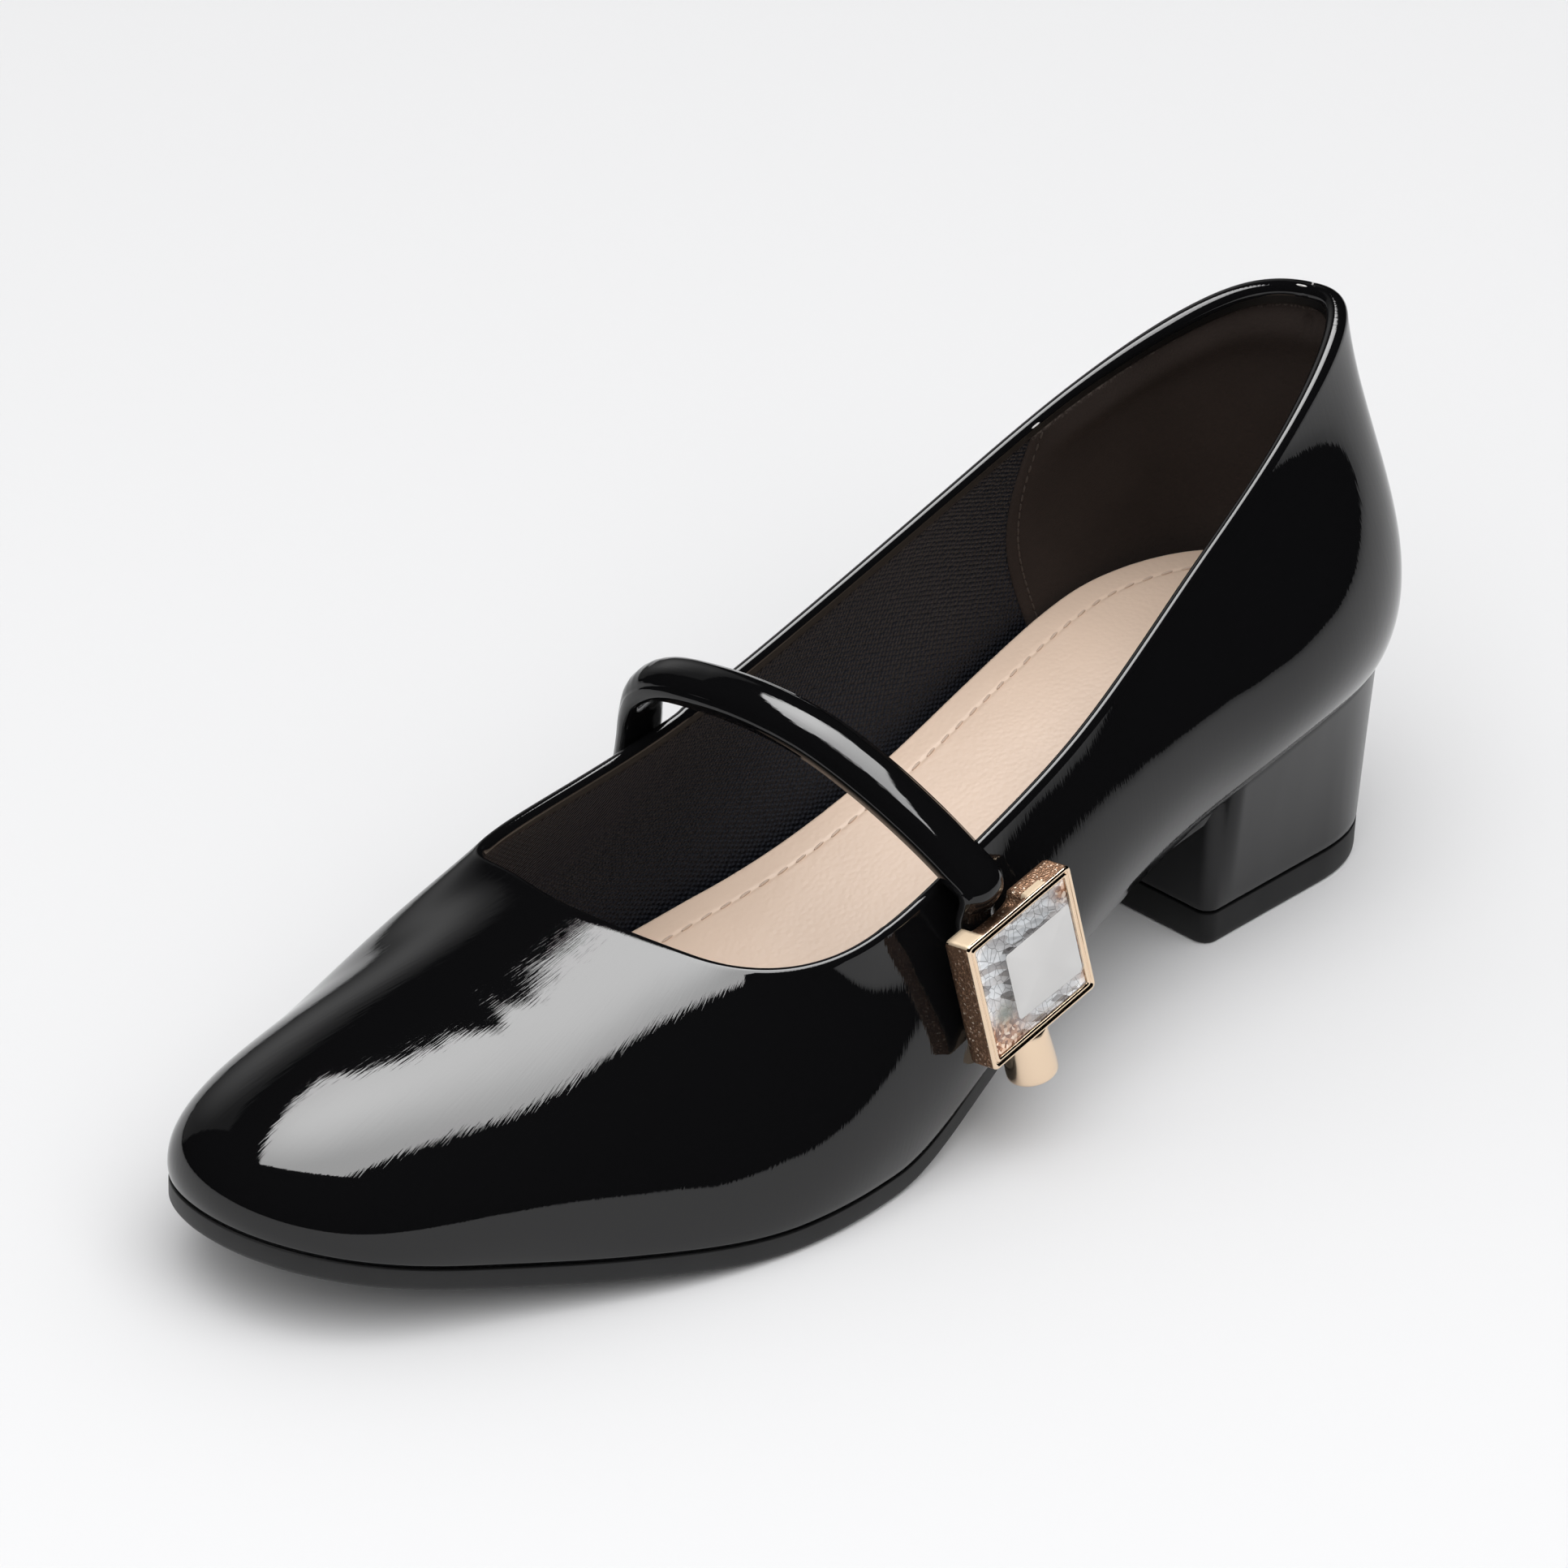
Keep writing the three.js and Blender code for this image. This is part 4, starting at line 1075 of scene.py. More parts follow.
class PUMP_OT_insole(bpy.types.Operator):
    """Insole: a thin pad with a rounded edge, pressed in along one line of stitches."""

    bl_idname = "pump.insole"
    bl_label = "Insole"
    stitch_inset: length("Stitch inset", "From the edge to the stitches", 5.6)
    pitch: length("Pitch", "From one stitch to the next", 3.7)

    def execute(self, context):
        sizes = context.scene.pump_last
        last = Last(sizes)
        thick = context.scene.pump_sole.insole / MM
        edge = sizes.wall / MM + EDGE_GAP
        under = sizes.wall / MM + UNDER_GAP
        line = edge + self.stitch_inset / MM

        def at(u, inset):
            x = last.section(u)[..., 0]
            return last.feather(u, -(inset + GRIP_FOOT * smooth(-x, -6, 24)))

        def height(x, level):
            return last.bottom(x) + under + level

        low = [(16, 0), (9, 0), (edge + 0.2, 0), (edge, 0.25), (edge, thick - 0.7)]
        curve = np.linspace(0, np.pi / 2, 6)[1:]
        turn = [(edge + 0.7 * (1 - math.cos(a)), thick - 0.7 + 0.7 * math.sin(a)) for a in curve]
        flat = np.linspace(edge + 1, 15, 90)
        top = [(inset, thick - 0.16 * float(bell(inset, line, 0.4))) for inset in flat]
        u = np.arange(420) / 420
        rings = []
        for inset, level in low + turn + top:
            loop, _ = at(u, inset)
            loop[:, 2] = height(loop[:, 0], level)
            rings.append(loop)
        spine = (rings[-1] + rings[-1][(-np.arange(len(u))) % len(u)]) / 2
        rings += [rings[-1] * (1 - t) + spine * t for t in (0.35, 0.7)]
        points, faces = pad(np.array(rings))
        insole = new_piece("insole_sock", points, faces, sock(), ["insole"])
        u = np.linspace(0, 1, 4001)
        loop, _ = at(u, line)
        run = np.concatenate([[0], np.cumsum(np.linalg.norm(np.diff(loop, axis=0), axis=1))])
        count = int(run[-1] / (self.pitch / MM))
        u = np.interp((np.arange(count) + 0.5) * run[-1] / count, run, u)
        centres, normal = at(u, line)
        ahead, _ = at(u + 1e-3, line)
        along = unit(ahead - centres)
        centres[:, 2] += under + thick - 0.02
        side = np.column_stack([normal, np.zeros(count)])
        lean = unit(along + 0.12 * side)
        across = unit(np.cross(lean, [0, 0, 1]))
        points, faces = beads(centres, lean, across, np.full(count, 2.3), 0.24, 8, 7)
        made = thread("nude_thread", chosen("insole_thread"))
        new_piece("insole_stitches", points, faces, made)
        return {"FINISHED"}


# The sole's end at the heel's breast: its place along the shoe, its outer and inner sides, and
# how much wider it may be for each millimetre forwards. The waist draws in round its middle.
SOLE_END = {"x": 25.1, "outer": 26.4, "inner": -24.2, "widen": 0.3}
WAIST = {"x": 50, "spread": 28, "inset": 3.5}
EDGE_ROUND = 1.1  # radius of the sole's lower edge
SOLE_PROUD = 0.1  # how far the sole's edge stands outside the feather edge


class PUMP_OT_outsole(bpy.types.Operator):
    """Outsole: a rounded edge that follows the feather edge, drawn in at the waist, with toe
    spring and arch, ending at the heel's breast."""

    bl_idname = "pump.outsole"
    bl_label = "Outsole"

    def execute(self, context):
        last = Last(context.scene.pump_last)
        thick = context.scene.pump_sole.thickness / MM
        u = np.arange(480) / 480
        bend = np.linspace(0, np.pi / 2, 7)
        # how far in from the feather edge, and how far above the sole's underside
        steps = [(22, 0), (12, 0), (4, 0)]
        steps += [
            (EDGE_ROUND * (1 - math.sin(a)) - SOLE_PROUD, EDGE_ROUND * (1 - math.cos(a))) for a in bend
        ]
        steps += [(-SOLE_PROUD, 2), (-SOLE_PROUD, thick - 0.3), (-0.05, thick - 0.1), (0.1, thick)]
        steps += [(1.5, thick), (8, thick), (22, thick)]
        waist = WAIST["inset"] * bell(last.feather(u)[0][:, 0], WAIST["x"], WAIST["spread"])
        rings = []
        for inset, level in steps:
            inwards = max(inset, 0)
            loop, _ = last.feather(u, -(inset + waist))
            loop[:, 0] = np.maximum(loop[:, 0], SOLE_END["x"] + min(inwards, 3))
            tight = 0.9 * inwards - SOLE_END["widen"] * (loop[:, 0] - SOLE_END["x"])
            loop[:, 1] = np.clip(loop[:, 1], SOLE_END["inner"] + tight, SOLE_END["outer"] - tight)
            loop[:, 2] = last.bottom(loop[:, 0]) - 0.05 - thick + level
            rings.append(loop)
        points, faces = pad(np.array(rings))
        points[:, 2] = np.maximum(points[:, 2], 0)
        new_piece("outsole_unit", points, faces, rubber("sole_rubber", 1.5), ["outsole"])
        return {"FINISHED"}


def heel_outline(back, half, front, depth, corner, count):
    """A D in plan, count points from its front's middle round the outer side: a straight breast
    and sides, corners of radius corner, and a back of |x|^p + |y|^p = 1 with p = 2.5."""
    p = 2.5
    turn = np.linspace(0, np.pi / 2, 9)
    arc = np.column_stack([front - corner * (1 - np.cos(turn)), half - corner * (1 - np.sin(turn))])
    back_turn = np.linspace(0, np.pi, 121)
    s, c = np.sin(back_turn), np.cos(back_turn)
    rear = np.column_stack(
        [back + depth - depth * np.abs(s) ** (2 / p), half * np.sign(c) * np.abs(c) ** (2 / p)]
    )
    far = arc[::-1] * [1, -1]
    loop = np.concatenate([[[front, 0]], arc, rear, far, [[front, 0]]])
    run = np.concatenate([[0], np.cumsum(np.linalg.norm(np.diff(loop, axis=0), axis=1))])
    at = np.arange(count) * run[-1] / count
    return np.column_stack([np.interp(at, run, loop[:, k]) for k in (0, 1)])


# The heel's base: its back, front and half width, the depth of its rounded back and the radius of
# its front corners. Its seat lies this far under the feather edge, and the joint over the top
# piece is this high.
HEEL_BACK, HEEL_FRONT, HEEL_HALF, HEEL_ROUND, HEEL_CORNER = -25, 24.8, 25.6, 22, 2.5
SEAT_GAP = 0.25
JOINT = 0.35


class PUMP_OT_heel(bpy.types.Operator):
    """Block heel: from the seat's outline under the upper, drawn in to a D at its base, and the
    top piece under it across a fine joint."""

    bl_idname = "pump.heel"
    bl_label = "Heel"

    def execute(self, context):
        last = Last(context.scene.pump_last)
        low = context.scene.pump_sole.top_piece / MM
        count = 360
        base = heel_outline(HEEL_BACK, HEEL_HALF, HEEL_FRONT, HEEL_ROUND, HEEL_CORNER, count)
        u = np.linspace(0, 1, 2000, endpoint=False)
        seat, _ = last.feather(u, np.full(2000, -0.7))
        seat = seat[seat[:, 0] < HEEL_FRONT + 12]
        angle = np.arctan2(seat[:, 1], seat[:, 0])
        order = np.argsort(angle)
        reach = np.hypot(seat[:, 0], seat[:, 1])
        at = np.arctan2(base[:, 1], base[:, 0])
        r = np.interp(at, angle[order], reach[order], period=2 * np.pi)
        top = np.column_stack([r * np.cos(at), r * np.sin(at)])
        top[:, 0] = np.minimum(top[:, 0], HEEL_FRONT)
        shift = smooth(HEEL_FRONT - base[:, 0], 0, 6)[:, None]
        top = base + (top - base) * shift
        rise = last.bottom(top[:, 0]) - SEAT_GAP - low
        rings = []
        for share, inset in ((0, 12), (0, 1.2), (0, 0.3), (0.003, 0.08), (0.012, 0)):
            ring = base - unit(base) * inset
            rings.append(np.column_stack([ring, low + JOINT + share * rise]))
        for share in np.linspace(0.05, 0.985, 26):
            ring = base + (top - base) * share
            rings.append(np.column_stack([ring, low + JOINT + share * (rise - JOINT)]))
        for inset, down in ((0.15, 0.12), (0.5, 0), (6, 0), (14, 0)):
            ring = top - unit(top) * inset
            rings.append(np.column_stack([ring, last.bottom(ring[:, 0]) - SEAT_GAP - down]))
        points, faces = pad(np.array(rings))
        new_piece("heel_wrap", points, faces, heel_cover(), ["heel_block"])
        # how far in from the outline, and height
        steps = [(14, 0), (1.0, 0), (0.45, 0.12), (0.2, 0.5), (0.1, 1.2)]
        steps += [(0, low - 0.3), (0.1, low - 0.05), (0.4, low), (14, low)]
        rings = [
            np.column_stack([base - unit(base) * inset, np.full(count, float(z))]) for inset, z in steps
        ]
        points, faces = pad(np.array(rings))
        made = rubber("top_piece_rubber", 1.4)
        new_piece("heel_tip", points, faces, made, ["heel_top_piece"])
        return {"FINISHED"}


FRAME_PLACE = {"x": 91.3, "y": 45.4, "z": 34.4, "yaw": 1.5, "lean": 8.6, "roll": 10}


def on_buckle(points):
    """Points of the frame's own box carried to its place: rolled, leaned and turned.

    The frame's own x runs to the toe, y out of its face and z up."""
    yaw, lean, roll = (math.radians(FRAME_PLACE[k]) for k in ("yaw", "lean", "roll"))
    turn = Matrix.Rotation(yaw, 3, "Z") @ Matrix.Rotation(lean, 3, "X") @ Matrix.Rotation(roll, 3, "Y")
    at = np.array([FRAME_PLACE[k] for k in ("x", "y", "z")])
    return points @ np.array(turn).T + at


def catmull(points, steps):
    """A smooth curve through points, evenly spaced along its length: Catmull-Rom spans with
    knots spaced by the square root of each chord."""
    p = np.concatenate([[2 * points[0] - points[1]], points, [2 * points[-1] - points[-2]]])
    chord = np.sqrt(np.linalg.norm(np.diff(p[:, :3], axis=0), axis=1))
    knots = np.concatenate([[0], np.cumsum(chord)])
    t = np.linspace(knots[1], knots[-2] - 1e-9, 4000)
    i = np.clip(np.searchsorted(knots, t, side="right") - 1, 1, len(p) - 3)
    k = [knots[i + d] for d in (-1, 0, 1, 2)]
    q = [p[i + d] for d in (-1, 0, 1, 2)]

    def mix(a, b, ta, tb):
        return ((tb - t) / (tb - ta))[:, None] * a + ((t - ta) / (tb - ta))[:, None] * b

    first = [mix(q[j], q[j + 1], k[j], k[j + 1]) for j in range(3)]
    second = [mix(first[j], first[j + 1], k[j], k[j + 2]) for j in range(2)]
    curve = mix(second[0], second[1], k[1], k[2])
    run = np.concatenate([[0], np.cumsum(np.linalg.norm(np.diff(curve[:, :3], axis=0), axis=1))])
    at = np.linspace(0, run[-1], steps)
    return np.column_stack([np.interp(at, run, curve[:, c]) for c in range(p.shape[1])]), run[-1]


# Thickness behind the frame and on the inner side; how far the tail runs down behind the frame and
# how far ahead of its middle; the length over which each end is blunted. The inner side's
# thickness gives way to the full one between two places on the run, the full one to the tail's
# between two places from its end, and the strap crinkles where it bends.
STRAP = {"tail_thickness": 3.1, "inner_thickness": 3.6, "tail": 7.6, "ahead": 2.7, "blunt": 4.2}
INNER_RUN = (34, 52)
TUCK_RUN = (11.8, 7.4)
CRINKLE = {"at": 49, "spread": 4, "pitch": 1.7, "height": 0.03}
FRAME_GAP = 0.3  # between the strap's tail and the frame's back


class PUMP_OT_strap(bpy.types.Operator):
    """Strap: a domed face on a flat back with a fine bead along each edge, carried along its
    route; it crinkles where it bends over the inner side."""

    bl_idname = "pump.strap"
    bl_label = "Strap"

    def execute(self, context):
        sizes = context.scene.pump_strap
        buckle = context.scene.pump_buckle
        thin, inner_thin, ahead = STRAP["tail_thickness"], STRAP["inner_thickness"], STRAP["ahead"]
        full = sizes.thickness / MM
        depth = -buckle.depth / MM - FRAME_GAP - thin / 2
        top = buckle.height / MM / 2
        down = STRAP["tail"]
        local = [(ahead, depth + 0.7, top - 0.6), (ahead, depth, top - 4), (ahead, depth, top - down)]
        turns = np.full((3, 2), (5, FRAME_PLACE["roll"]))
        tail = np.column_stack([on_buckle(np.array(local)), turns])
        steps = 420
        route, total = catmull(np.concatenate([np.array(STRAP_ROUTE, float), tail]), steps)
        centre, (turn, tilt) = route[:, :3], np.radians(route[:, 3:]).T
        along = unit(np.gradient(centre, axis=0))
        wide = np.column_stack([np.cos(turn), np.sin(turn), -np.sin(tilt)])
        wide = unit(wide - along * (wide * along).sum(1, keepdims=True))
        out = unit(np.cross(wide, along))
        run = np.linspace(0, total, steps)
        tucked = smooth(run, total - TUCK_RUN[0], total - TUCK_RUN[1])
        inner = 1 - smooth(run, *INNER_RUN)
        body = full + (inner_thin - full) * inner
        centre = centre + out * (0.5 * (inner_thin - full) * inner)[:, None]
        thick = body * (1 - tucked) + thin * tucked
        end = np.clip(np.minimum(run, total - run) / STRAP["blunt"], 0, 1)
        taper = 0.12 + 0.88 * np.sqrt(1 - (1 - end) ** 2)
        half = sizes.width / MM / 2 * taper
        t = np.linspace(-1, 1, 34)
        dome = np.sqrt(np.maximum(1 - np.abs(t) ** 2.3, 0))
        bead = 0.12 * bell(np.abs(t), 0.955, 0.03)
        wave = np.sin(run[:, None] * 2 * np.pi / CRINKLE["pitch"] + 1.5 * t) * (1 - t**2)
        crinkle = CRINKLE["height"] * bell(run, CRINKLE["at"], CRINKLE["spread"])[:, None] * wave
        face = out[:, None] * ((dome * 0.86 - 0.36 + bead) * thick[:, None] + crinkle)[..., None]
        front = centre[:, None] + wide[:, None] * (half[:, None] * t)[..., None] + face
        s = np.linspace(1, -1, 14)[1:-1]
        flat = out[:, None] * (-0.5 * thick[:, None] * np.sqrt(1 - 0.35 * s**8))[..., None]
        back = centre[:, None] + wide[:, None] * (half[:, None] * s * 0.97)[..., None] + flat
        rings = np.concatenate([front, back], 1)
        points, faces = ring_solid(rings)
        around = rings.shape[1]
        place_u = np.tile(np.linspace(0, 0.03, around), (steps, 1))
        place_v = np.tile(run[:, None] * MM, (1, around))
        flat_uv = np.concatenate([np.stack([place_u, place_v], -1).reshape(-1, 2), np.zeros((2, 2))])
        corners = np.concatenate([f.ravel() for f in faces])
        new_piece("strap_patent", points, faces, patent(), ["strap"], flat_uv[corners])
        return {"FINISHED"}


def frame_outline(width, height, corner, count=24, straight=0):
    """A rectangle with rounded corners in the frame's x and z: count points to a corner and
    straight points between two corners."""
    turn = np.linspace(0, np.pi / 2, count)
    arcs = []
    for k, (sx, sz) in enumerate(((1, 1), (-1, 1), (-1, -1), (1, -1))):
        a = turn + k * np.pi / 2
        x = sx * (width / 2 - corner) + corner * np.cos(a)
        arcs.append(np.column_stack([x, sz * (height / 2 - corner) + corner * np.sin(a)]))
    share = np.linspace(0, 1, straight + 2)[1:-1, None]
    parts = []
    for arc, following in zip(arcs, arcs[1:] + arcs[:1]):
        parts += [arc, arc[-1] * (1 - share) + following[0] * share]
    return np.concatenate(parts)


NOTCH = {"x": 2.7, "half": 5.6, "deep": 1.9}  # in the frame's top: middle, half width, depth
FACE = 0.45  # how deep the polished face goes before the blasted sides start


class PUMP_OT_buckle_frame(bpy.types.Operator):
    """The stone's frame: a raised outer lip, a groove and a second lip at the stone, straight
    blasted sides, and a polished notch in the top where the strap goes in."""

    bl_idname = "pump.buckle_frame"
    bl_label = "Buckle frame"

    def execute(self, context):
        sizes = context.scene.pump_buckle
        w, h, d, rim = (getattr(sizes, k) / MM for k in ("width", "height", "depth", "rim"))
        # how far in from the outline, and level: back edge, side, outer lip, groove, inner lip, wall
        profile = [(0.6, -d), (0.2, -d + 0.25), (0.0, -d + 0.9), (0.0, -d + 1.8)]
        profile += [(0.0, level) for level in (-2.6, -2.0, -1.5, -1.0, -0.5)]
        profile += [(0.06, -0.2), (0.22, -0.04), (0.42, 0.0), (0.58, -0.05), (0.68, -0.2)]
        profile += [(0.75, -0.36), (0.88, -0.38), (0.97, -0.26)]
        profile += [(1.07, -0.1), (1.2, -0.05), (1.4, -0.09), (rim - 0.06, -0.2), (rim, -0.45)]
        profile += [(rim + 0.02, -1.2), (rim + 0.05, -d + 1.3)]
        rings = []
        for inset, level in profile:
            corner = max(0.9 - inset * 0.4, 0.15)
            outline = frame_outline(w - 2 * inset, h - 2 * inset, corner, 8, 50)
            x, z = outline[:, 0], outline[:, 1]
            across = np.clip(np.abs(x - NOTCH["x"]) / NOTCH["half"], 0, 1)
            scoop = np.sqrt(1 - across**4) * smooth(z, h / 2 - 1.2, h / 2 - 0.6)
            scoop = scoop * smooth(-level, 0.6, 2.6) * (inset < 0.7)
            rings.append(np.column_stack([x, np.full(len(x), level), z - NOTCH["deep"] * scoop]))
        rings.append(rings[-1] * [0.05, 1, 0.05])
        rings.insert(0, rings[0] * [0.05, 1, 0.05])
        points, faces = ring_solid(np.array(rings))
        piece = new_piece(
            "buckle_setting", on_buckle(points), faces, gold(), ["buckle_frame"]
        )
        piece.data.materials.append(bronze())
        piece.data.materials.append(satin())
        middle = points[faces[0]].mean(1)
        x, y, z = middle.T
        outer = np.maximum(np.abs(x) - w / 2, np.abs(z) - h / 2) > -0.35
        notched = (np.abs(x - NOTCH["x"]) < NOTCH["half"]) & (z > h / 2 - NOTCH["deep"] - 0.4)
        side = (y < -FACE) & (outer | notched)
        # the top's front corner, and a short way along it behind the notch
        beside = (x > NOTCH["x"] + NOTCH["half"]) | ((x < -2.6) & (x > -7) & (y > -2.2))
        pale = side & (z > h / 2 - 0.4) & beside
        band = np.zeros(len(piece.data.polygons), np.int32)
        band[: len(faces[0])] = np.where(pale, 2, side)
        piece.data.polygons.foreach_set("material_index", band)
        return {"FINISHED"}


STONE_GAP = 0.15  # each side, inside the frame
TABLE = {"x": -1.4, "z": 0.6, "width": 15.6, "height": 12.3, "level": 1.2}


class PUMP_OT_buckle_stone(bpy.types.Operator):
    """A step-cut stone over crinkled foil, with a bare white plate at its table."""

    bl_idname = "pump.buckle_stone"
    bl_label = "Stone"

    def execute(self, context):
        sizes = context.scene.pump_buckle
        w = (sizes.width - 2 * sizes.rim) / MM - 2 * STONE_GAP
        h = (sizes.height - 2 * sizes.rim) / MM - 2 * STONE_GAP
        floor = -sizes.depth / MM + 1.6
        top = TABLE["level"]
        share_x, share_z = TABLE["width"] / w, TABLE["height"] / h
        # share of the girdle across, share up and down, level
        steps = (
            (0.9, 0.9, floor + 0.9),
            (0.99, 0.99, floor + 1.2),
            (1.0, 1.0, floor + 2.6),
            (0.955, 0.94, top - 1.35),
            (0.86, 0.8, top - 0.55),
            (share_x + 0.03, share_z + 0.04, top),
        )
        rings = []
        for k, (across, up, level) in enumerate(steps):
            a, b, c = w / 2 * across, h / 2 * up, 2.2 * up
            corners = [(a, b - c), (a - c, b), (c - a, b), (-a, b - c)]
            corners += [(-x, -z) for x, z in corners]
            off = max(k - 2, 0) / 3
            rings.append([(x + TABLE["x"] * off, level, z + TABLE["z"] * off) for x, z in corners])
        points, faces = ring_solid(np.array(rings, float))
        stone = new_piece(
            "stone_crystal", on_buckle(points), faces, crystal(), ["buckle_stone"]
        )
        stone.data.polygons.foreach_set("use_smooth", np.zeros(len(stone.data.polygons), bool))
        outline = frame_outline(TABLE["width"], TABLE["height"], 0.7, 16)
        wave = 0.3 * np.sin(outline[:, 0] * 1.1) + 0.2 * np.sin(outline[:, 0] * 2.3 + 1)
        outline[:, 1] += wave * smooth(-outline[:, 1], 4, 6)
        levels = ((0.97, top + 0.02), (1, top + 0.04), (1, top + 0.08), (0.99, top + 0.1))
        rings = [
            np.column_stack([outline[:, 0] * k, np.full(len(outline), y), outline[:, 1] * k])
            for k, y in levels
        ]
        points, faces = ring_solid(np.array(rings) + [TABLE["x"], 0, TABLE["z"]])
        new_piece("stone_plate", on_buckle(points), faces, plate())
        columns, rows = np.linspace(-w / 2, w / 2, 89), np.linspace(-h / 2, h / 2, 81)
        x, z = np.meshgrid(columns, rows, indexing="ij")
        across, up = x / w * 2, z / h * 2
        rise = -0.75 + 0.3 * smooth(np.maximum(np.abs(across), np.abs(up)), 0.8, 1)
        front = np.stack([x, rise, z], -1)
        back = np.stack([x, np.full_like(x, floor + 0.08), z], -1)
        points, faces = slab(front, back)
        corners = np.concatenate([f.ravel() for f in faces])
        uv = points[corners][:, [0, 2]] * MM
        backing = new_piece("stone_foil", on_buckle(points), faces, foil(), (), uv)
        # the copper mask places the painted glints at the corners; green and brown are tints at given
        # spots
        corner = bell(np.hypot(across - 0.8, up + 0.8), 0, 0.42)
        far_corner = bell(np.hypot(across + 0.95, up - 0.8), 0, 0.2)
        right = bell(across, -1, 0.09) * bell(up, -0.3, 0.6)
        masks = {
            "copper": np.clip(1.5 * corner + 0.9 * right + far_corner, 0, 1),
            "green": 0.8 * bell(np.hypot(across - 0.66, up + 0.42), 0, 0.2),
            "brown": 0.9 * bell(up, -0.62, 0.1) * smooth(-across, -0.55, -0.3),
        }
        for name, amount in masks.items():
            layer = backing.data.attributes.new(name, "FLOAT", "POINT")
            layer.data.foreach_set("value", np.tile(amount.ravel(), 2).astype(np.float32))
        return {"FINISHED"}


# The stem's axis, ahead of the frame's middle and behind its face; its length and end radius.
STEM = {"ahead": 0.9, "behind": 4.3, "length": 9.1, "radius": 4.2}


class PUMP_OT_buckle_stem(bpy.types.Operator):
    """The turned stem under the frame: its radius swells slightly down to a rounded end."""

    bl_idname = "pump.buckle_stem"
    bl_label = "Stem"

    def execute(self, context):
        sizes = context.scene.pump_buckle
        end, reach = STEM["radius"], STEM["length"]
        bend = np.linspace(0, np.pi / 2, 8)[1:]
        # radius and height
        profile = [(3.2, 0.05), (3.65, 0), (3.8, -0.3), (3.9, -2), (4.1, -5), (end, -7)]
        profile += [(end, 1 - reach)]
        profile += [(end - 1 + math.cos(a), 1 - reach - math.sin(a)) for a in bend]
        profile += [(1.5, -reach)]
        angle = 2 * np.pi * np.arange(64) / 64
        circle = np.column_stack([np.cos(angle), np.sin(angle), np.zeros(64)])
        base = np.array([STEM["ahead"], -STEM["behind"], -sizes.height / MM / 2 - 0.25])
        rings = [circle * radius + base + (0, 0, z) for radius, z in profile]
        points, faces = ring_solid(np.array(rings))
        new_piece("stem_turned", on_buckle(points), faces, gold(), ["buckle_stem"])
        return {"FINISHED"}


# ---------------------------------------------------------------- stage

# The camera looks down on the outer front of the shoe: degrees from +X towards +Y, above the
# floor and rolled, with its distance and the point it looks at in millimetres.
CAMERA = {"azimuth": 42.23, "elevation": 31.1, "roll": 1.94, "distance": 1494, "lens": 214}
CAMERA_TARGET = (79.5, -18.9, 35)
FLOOR_HALF = 6.0  # half the floor's width, in metres
SOFTBOX = (60, -400, 2000)  # the lamp over the shoe, which faces straight down
CARD = (-500, -1500, 800)  # the lamp on the inner side, which faces across the floor


def area_light(name, size, place_mm, aim_mm, watts, turn=0):
    """A rectangular lamp that faces its aim, turned about that line by turn degrees."""
    data = bpy.data.lights.new(name, "AREA")
    data.shape = "RECTANGLE"
    data.size, data.size_y = (s * MM for s in size)
    data.energy = watts
    lamp = bpy.data.objects.new(name, data)
    lamp.location = Vector(place_mm) * MM
    facing = (Vector(aim_mm) - Vector(place_mm)).to_track_quat("-Z", "Y").to_matrix()
    lamp.rotation_euler = (facing @ Matrix.Rotation(math.radians(turn), 3, "Z")).to_euler()
    lamp.visible_camera = False
    bpy.context.scene.collection.objects.link(lamp)
    return lamp


def fade(lamp, centre_mm, half_mm, middle, edge):
    """Makes a lamp brighter round a place, as a softbox is behind its cloth: its strength falls
    from middle to edge over half_mm along each axis, and an axis of 0 doesn't count."""
    lamp.data.use_nodes = True
    tree = lamp.data.node_tree
    spot = add(tree, "ShaderNodeNewGeometry").outputs["Position"]
    scale = tuple(1 / (h * MM) if h else 0 for h in half_mm)
    shift = tuple(-c * MM * k for c, k in zip(centre_mm, scale))
    near = add(tree, "ShaderNodeMapping", {"Vector": spot}, Scale=scale, Location=shift)
    reach = add(tree, "ShaderNodeVectorMath", {0: near.outputs["Vector"]}, operation="LENGTH")
    glow = add(
        tree,
        "ShaderNodeMapRange",
        {"Value": reach.outputs["Value"]},
        interpolation_type="SMOOTHSTEP",
        To_Min=middle,
        To_Max=edge,
    )
    tree.links.new(glow.outputs["Result"], tree.nodes["Emission"].inputs["Strength"])


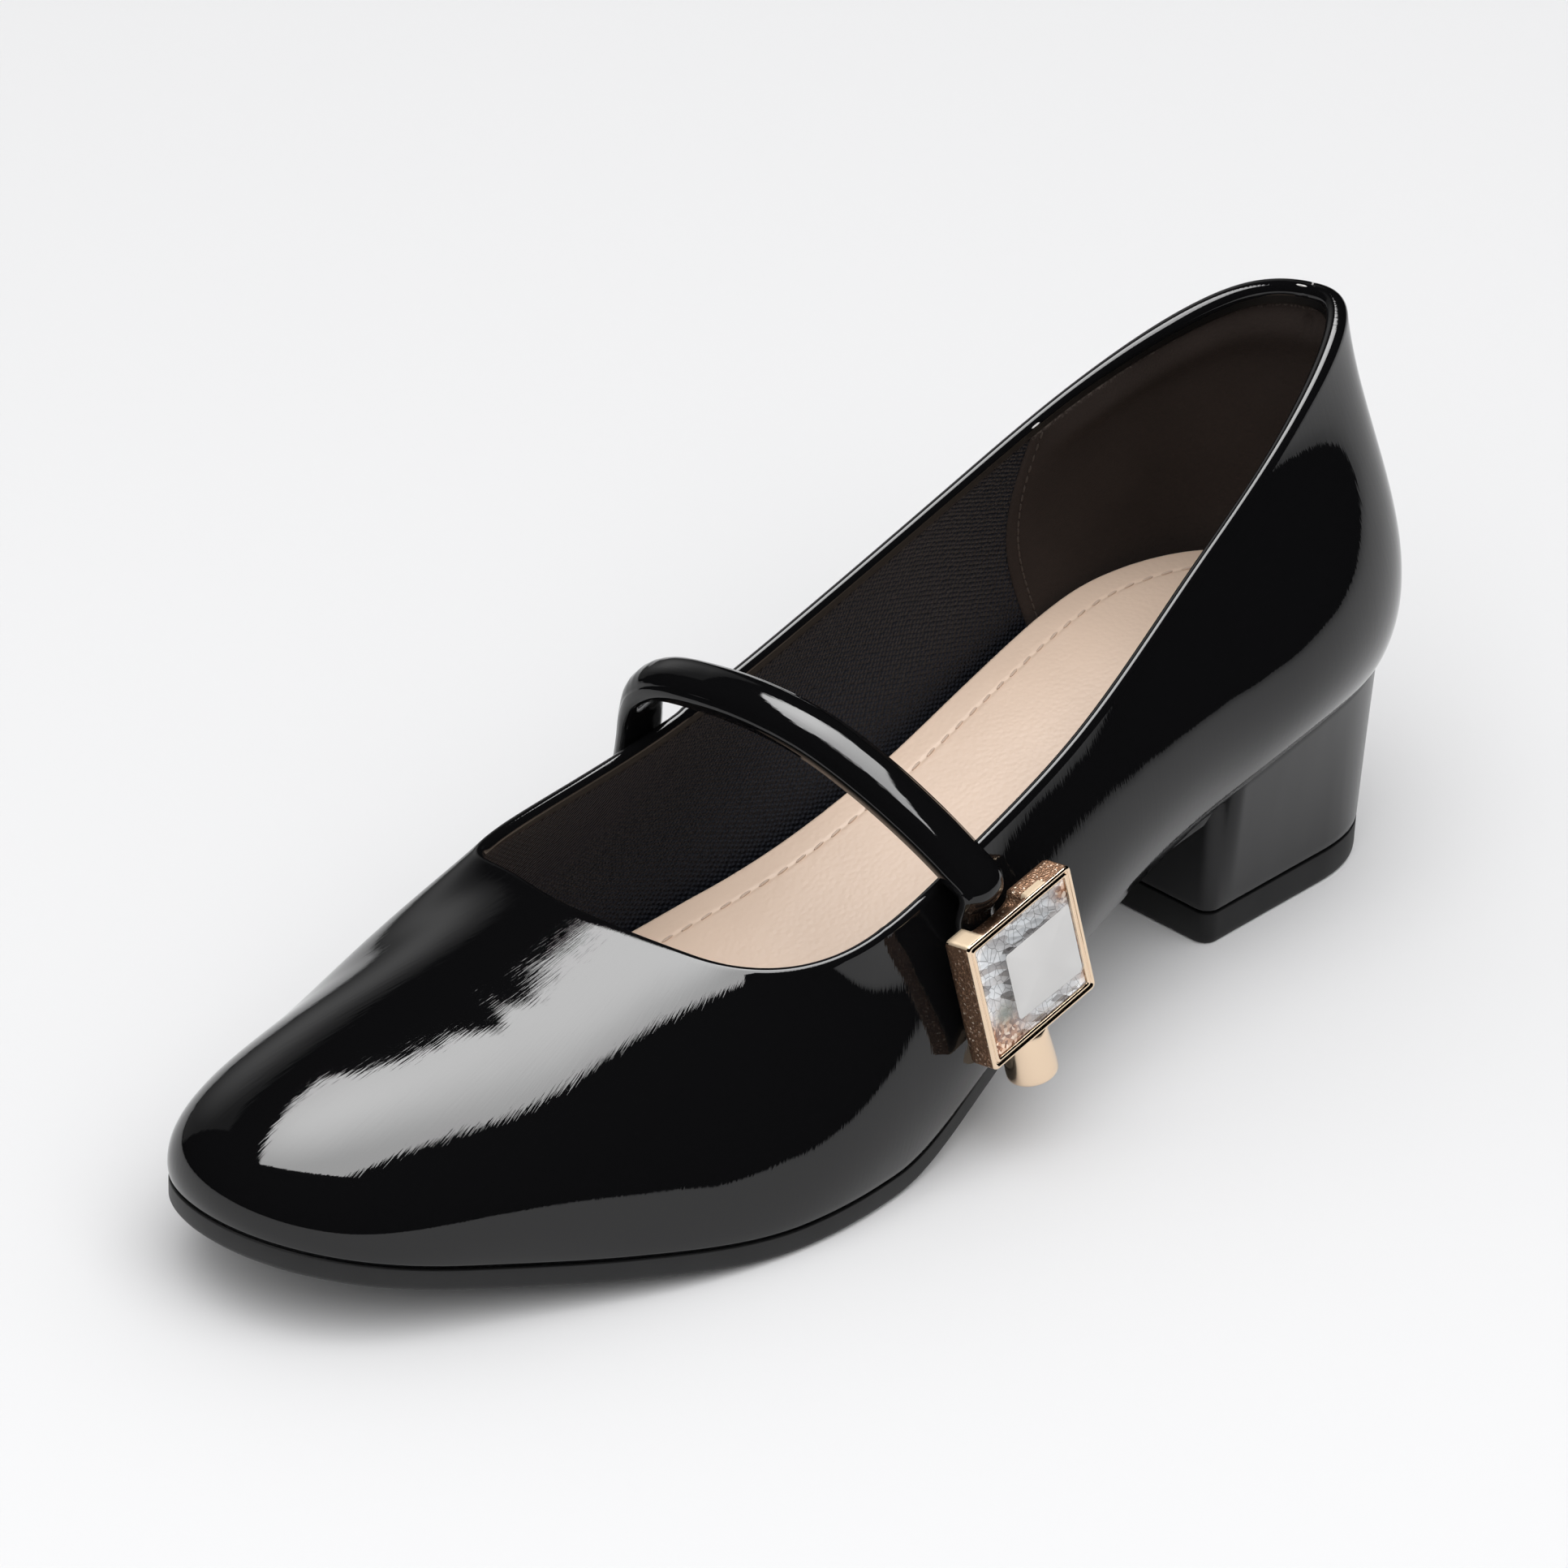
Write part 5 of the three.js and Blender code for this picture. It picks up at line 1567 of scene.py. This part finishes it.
class PUMP_OT_stage(bpy.types.Operator):
    """Pale floor, soft studio light and the camera."""

    bl_idname = "pump.stage"
    bl_label = "Stage"

    def execute(self, context):
        scene = context.scene
        scene.view_settings.view_transform = "Standard"
        mesh = bpy.data.meshes.new("floor")
        corners = [(x * FLOOR_HALF, y * FLOOR_HALF, 0) for x, y in ((-1, -1), (1, -1), (1, 1), (-1, 1))]
        mesh.from_pydata(corners, [], [(0, 1, 2, 3)])
        floor = bpy.data.objects.new("floor", mesh)
        scene.collection.objects.link(floor)
        floor.location.z = -0.0001
        paint = material("pale_floor", Base_Color=linear("#E8E8E9"), Roughness=0.9, IOR=1.3)
        mesh.materials.append(paint[0])
        world = bpy.data.worlds.new("studio")
        world.use_nodes = True
        world.node_tree.nodes["Background"].inputs["Color"].default_value = linear("#FFFFFF")
        world.node_tree.nodes["Background"].inputs["Strength"].default_value = 0.62
        world.cycles_visibility.glossy = False
        scene.world = world
        # the softbox and the card make the highlights, and the overhead lamp the even light
        softbox = area_light("softbox", (1670, 1280), SOFTBOX, (*SOFTBOX[:2], 0), 66, 20)
        softbox.visible_diffuse = False
        fade(softbox, (-200, -700, 0), (1300, 900, 0), 1.22, 0.84)
        card = area_light("side_card", (1800, 1500), CARD, (CARD[0], 0, CARD[2]), 4.2)
        card.visible_diffuse = False
        fade(card, (CARD[0], 0, CARD[2]), (900, 0, 750), 1.3, 0.3)
        overhead = area_light("overhead", (2200, 2200), (520, 600, 1650), (60, 0, 0), 29)
        overhead.visible_glossy = False
        azimuth, elevation, roll = (math.radians(CAMERA[k]) for k in ("azimuth", "elevation", "roll"))
        level = Vector((math.cos(azimuth), math.sin(azimuth), 0))
        back = level * math.cos(elevation) + Vector((0, 0, math.sin(elevation)))
        data = bpy.data.cameras.new("camera")
        data.lens = CAMERA["lens"]
        data.clip_end = 20
        camera = bpy.data.objects.new("camera", data)
        right = Vector((-math.sin(azimuth), math.cos(azimuth), 0))
        up = back.cross(right)
        turned = right * math.cos(roll) + up * math.sin(roll)
        rise = up * math.cos(roll) - right * math.sin(roll)
        stand = Matrix((turned, rise, back)).transposed().to_4x4()
        stand.translation = (Vector(CAMERA_TARGET) + back * CAMERA["distance"]) * MM
        camera.matrix_world = stand
        scene.collection.objects.link(camera)
        scene.camera = camera
        return {"FINISHED"}


PIECES = (
    PUMP_OT_upper,
    PUMP_OT_lining,
    PUMP_OT_heel_grip,
    PUMP_OT_topline_stitches,
    PUMP_OT_insole,
    PUMP_OT_outsole,
    PUMP_OT_heel,
    PUMP_OT_strap,
    PUMP_OT_buckle_frame,
    PUMP_OT_buckle_stone,
    PUMP_OT_buckle_stem,
    PUMP_OT_stage,
)
SIZES = {
    "pump_last": PumpLast,
    "pump_sole": PumpSole,
    "pump_strap": PumpStrap,
    "pump_buckle": PumpBuckle,
    "pump_colours": PumpColours,
}


class PUMP_PT_panel(bpy.types.Panel):
    """Sizes and pieces of the pump."""

    bl_label = "Mary jane pump"
    bl_space_type = "VIEW_3D"
    bl_region_type = "UI"
    bl_category = "Pump"

    def draw(self, context):
        for name, group in SIZES.items():
            box = self.layout.box()
            box.label(text=name.replace("_", " ").capitalize())
            for key in group.__annotations__:
                box.prop(getattr(context.scene, name), key)
        for piece in PIECES:
            self.layout.operator(piece.bl_idname)


def register():
    for group in (*SIZES.values(), *PIECES, PUMP_PT_panel):
        bpy.utils.register_class(group)
    for name, group in SIZES.items():
        setattr(bpy.types.Scene, name, bpy.props.PointerProperty(type=group))


def unregister():
    for name in SIZES:
        delattr(bpy.types.Scene, name)
    for group in reversed((*SIZES.values(), *PIECES, PUMP_PT_panel)):
        bpy.utils.unregister_class(group)


def main():
    register()
    for piece in PIECES:
        getattr(bpy.ops.pump, piece.bl_idname.split(".")[1])()


if __name__ == "__main__":
    main()
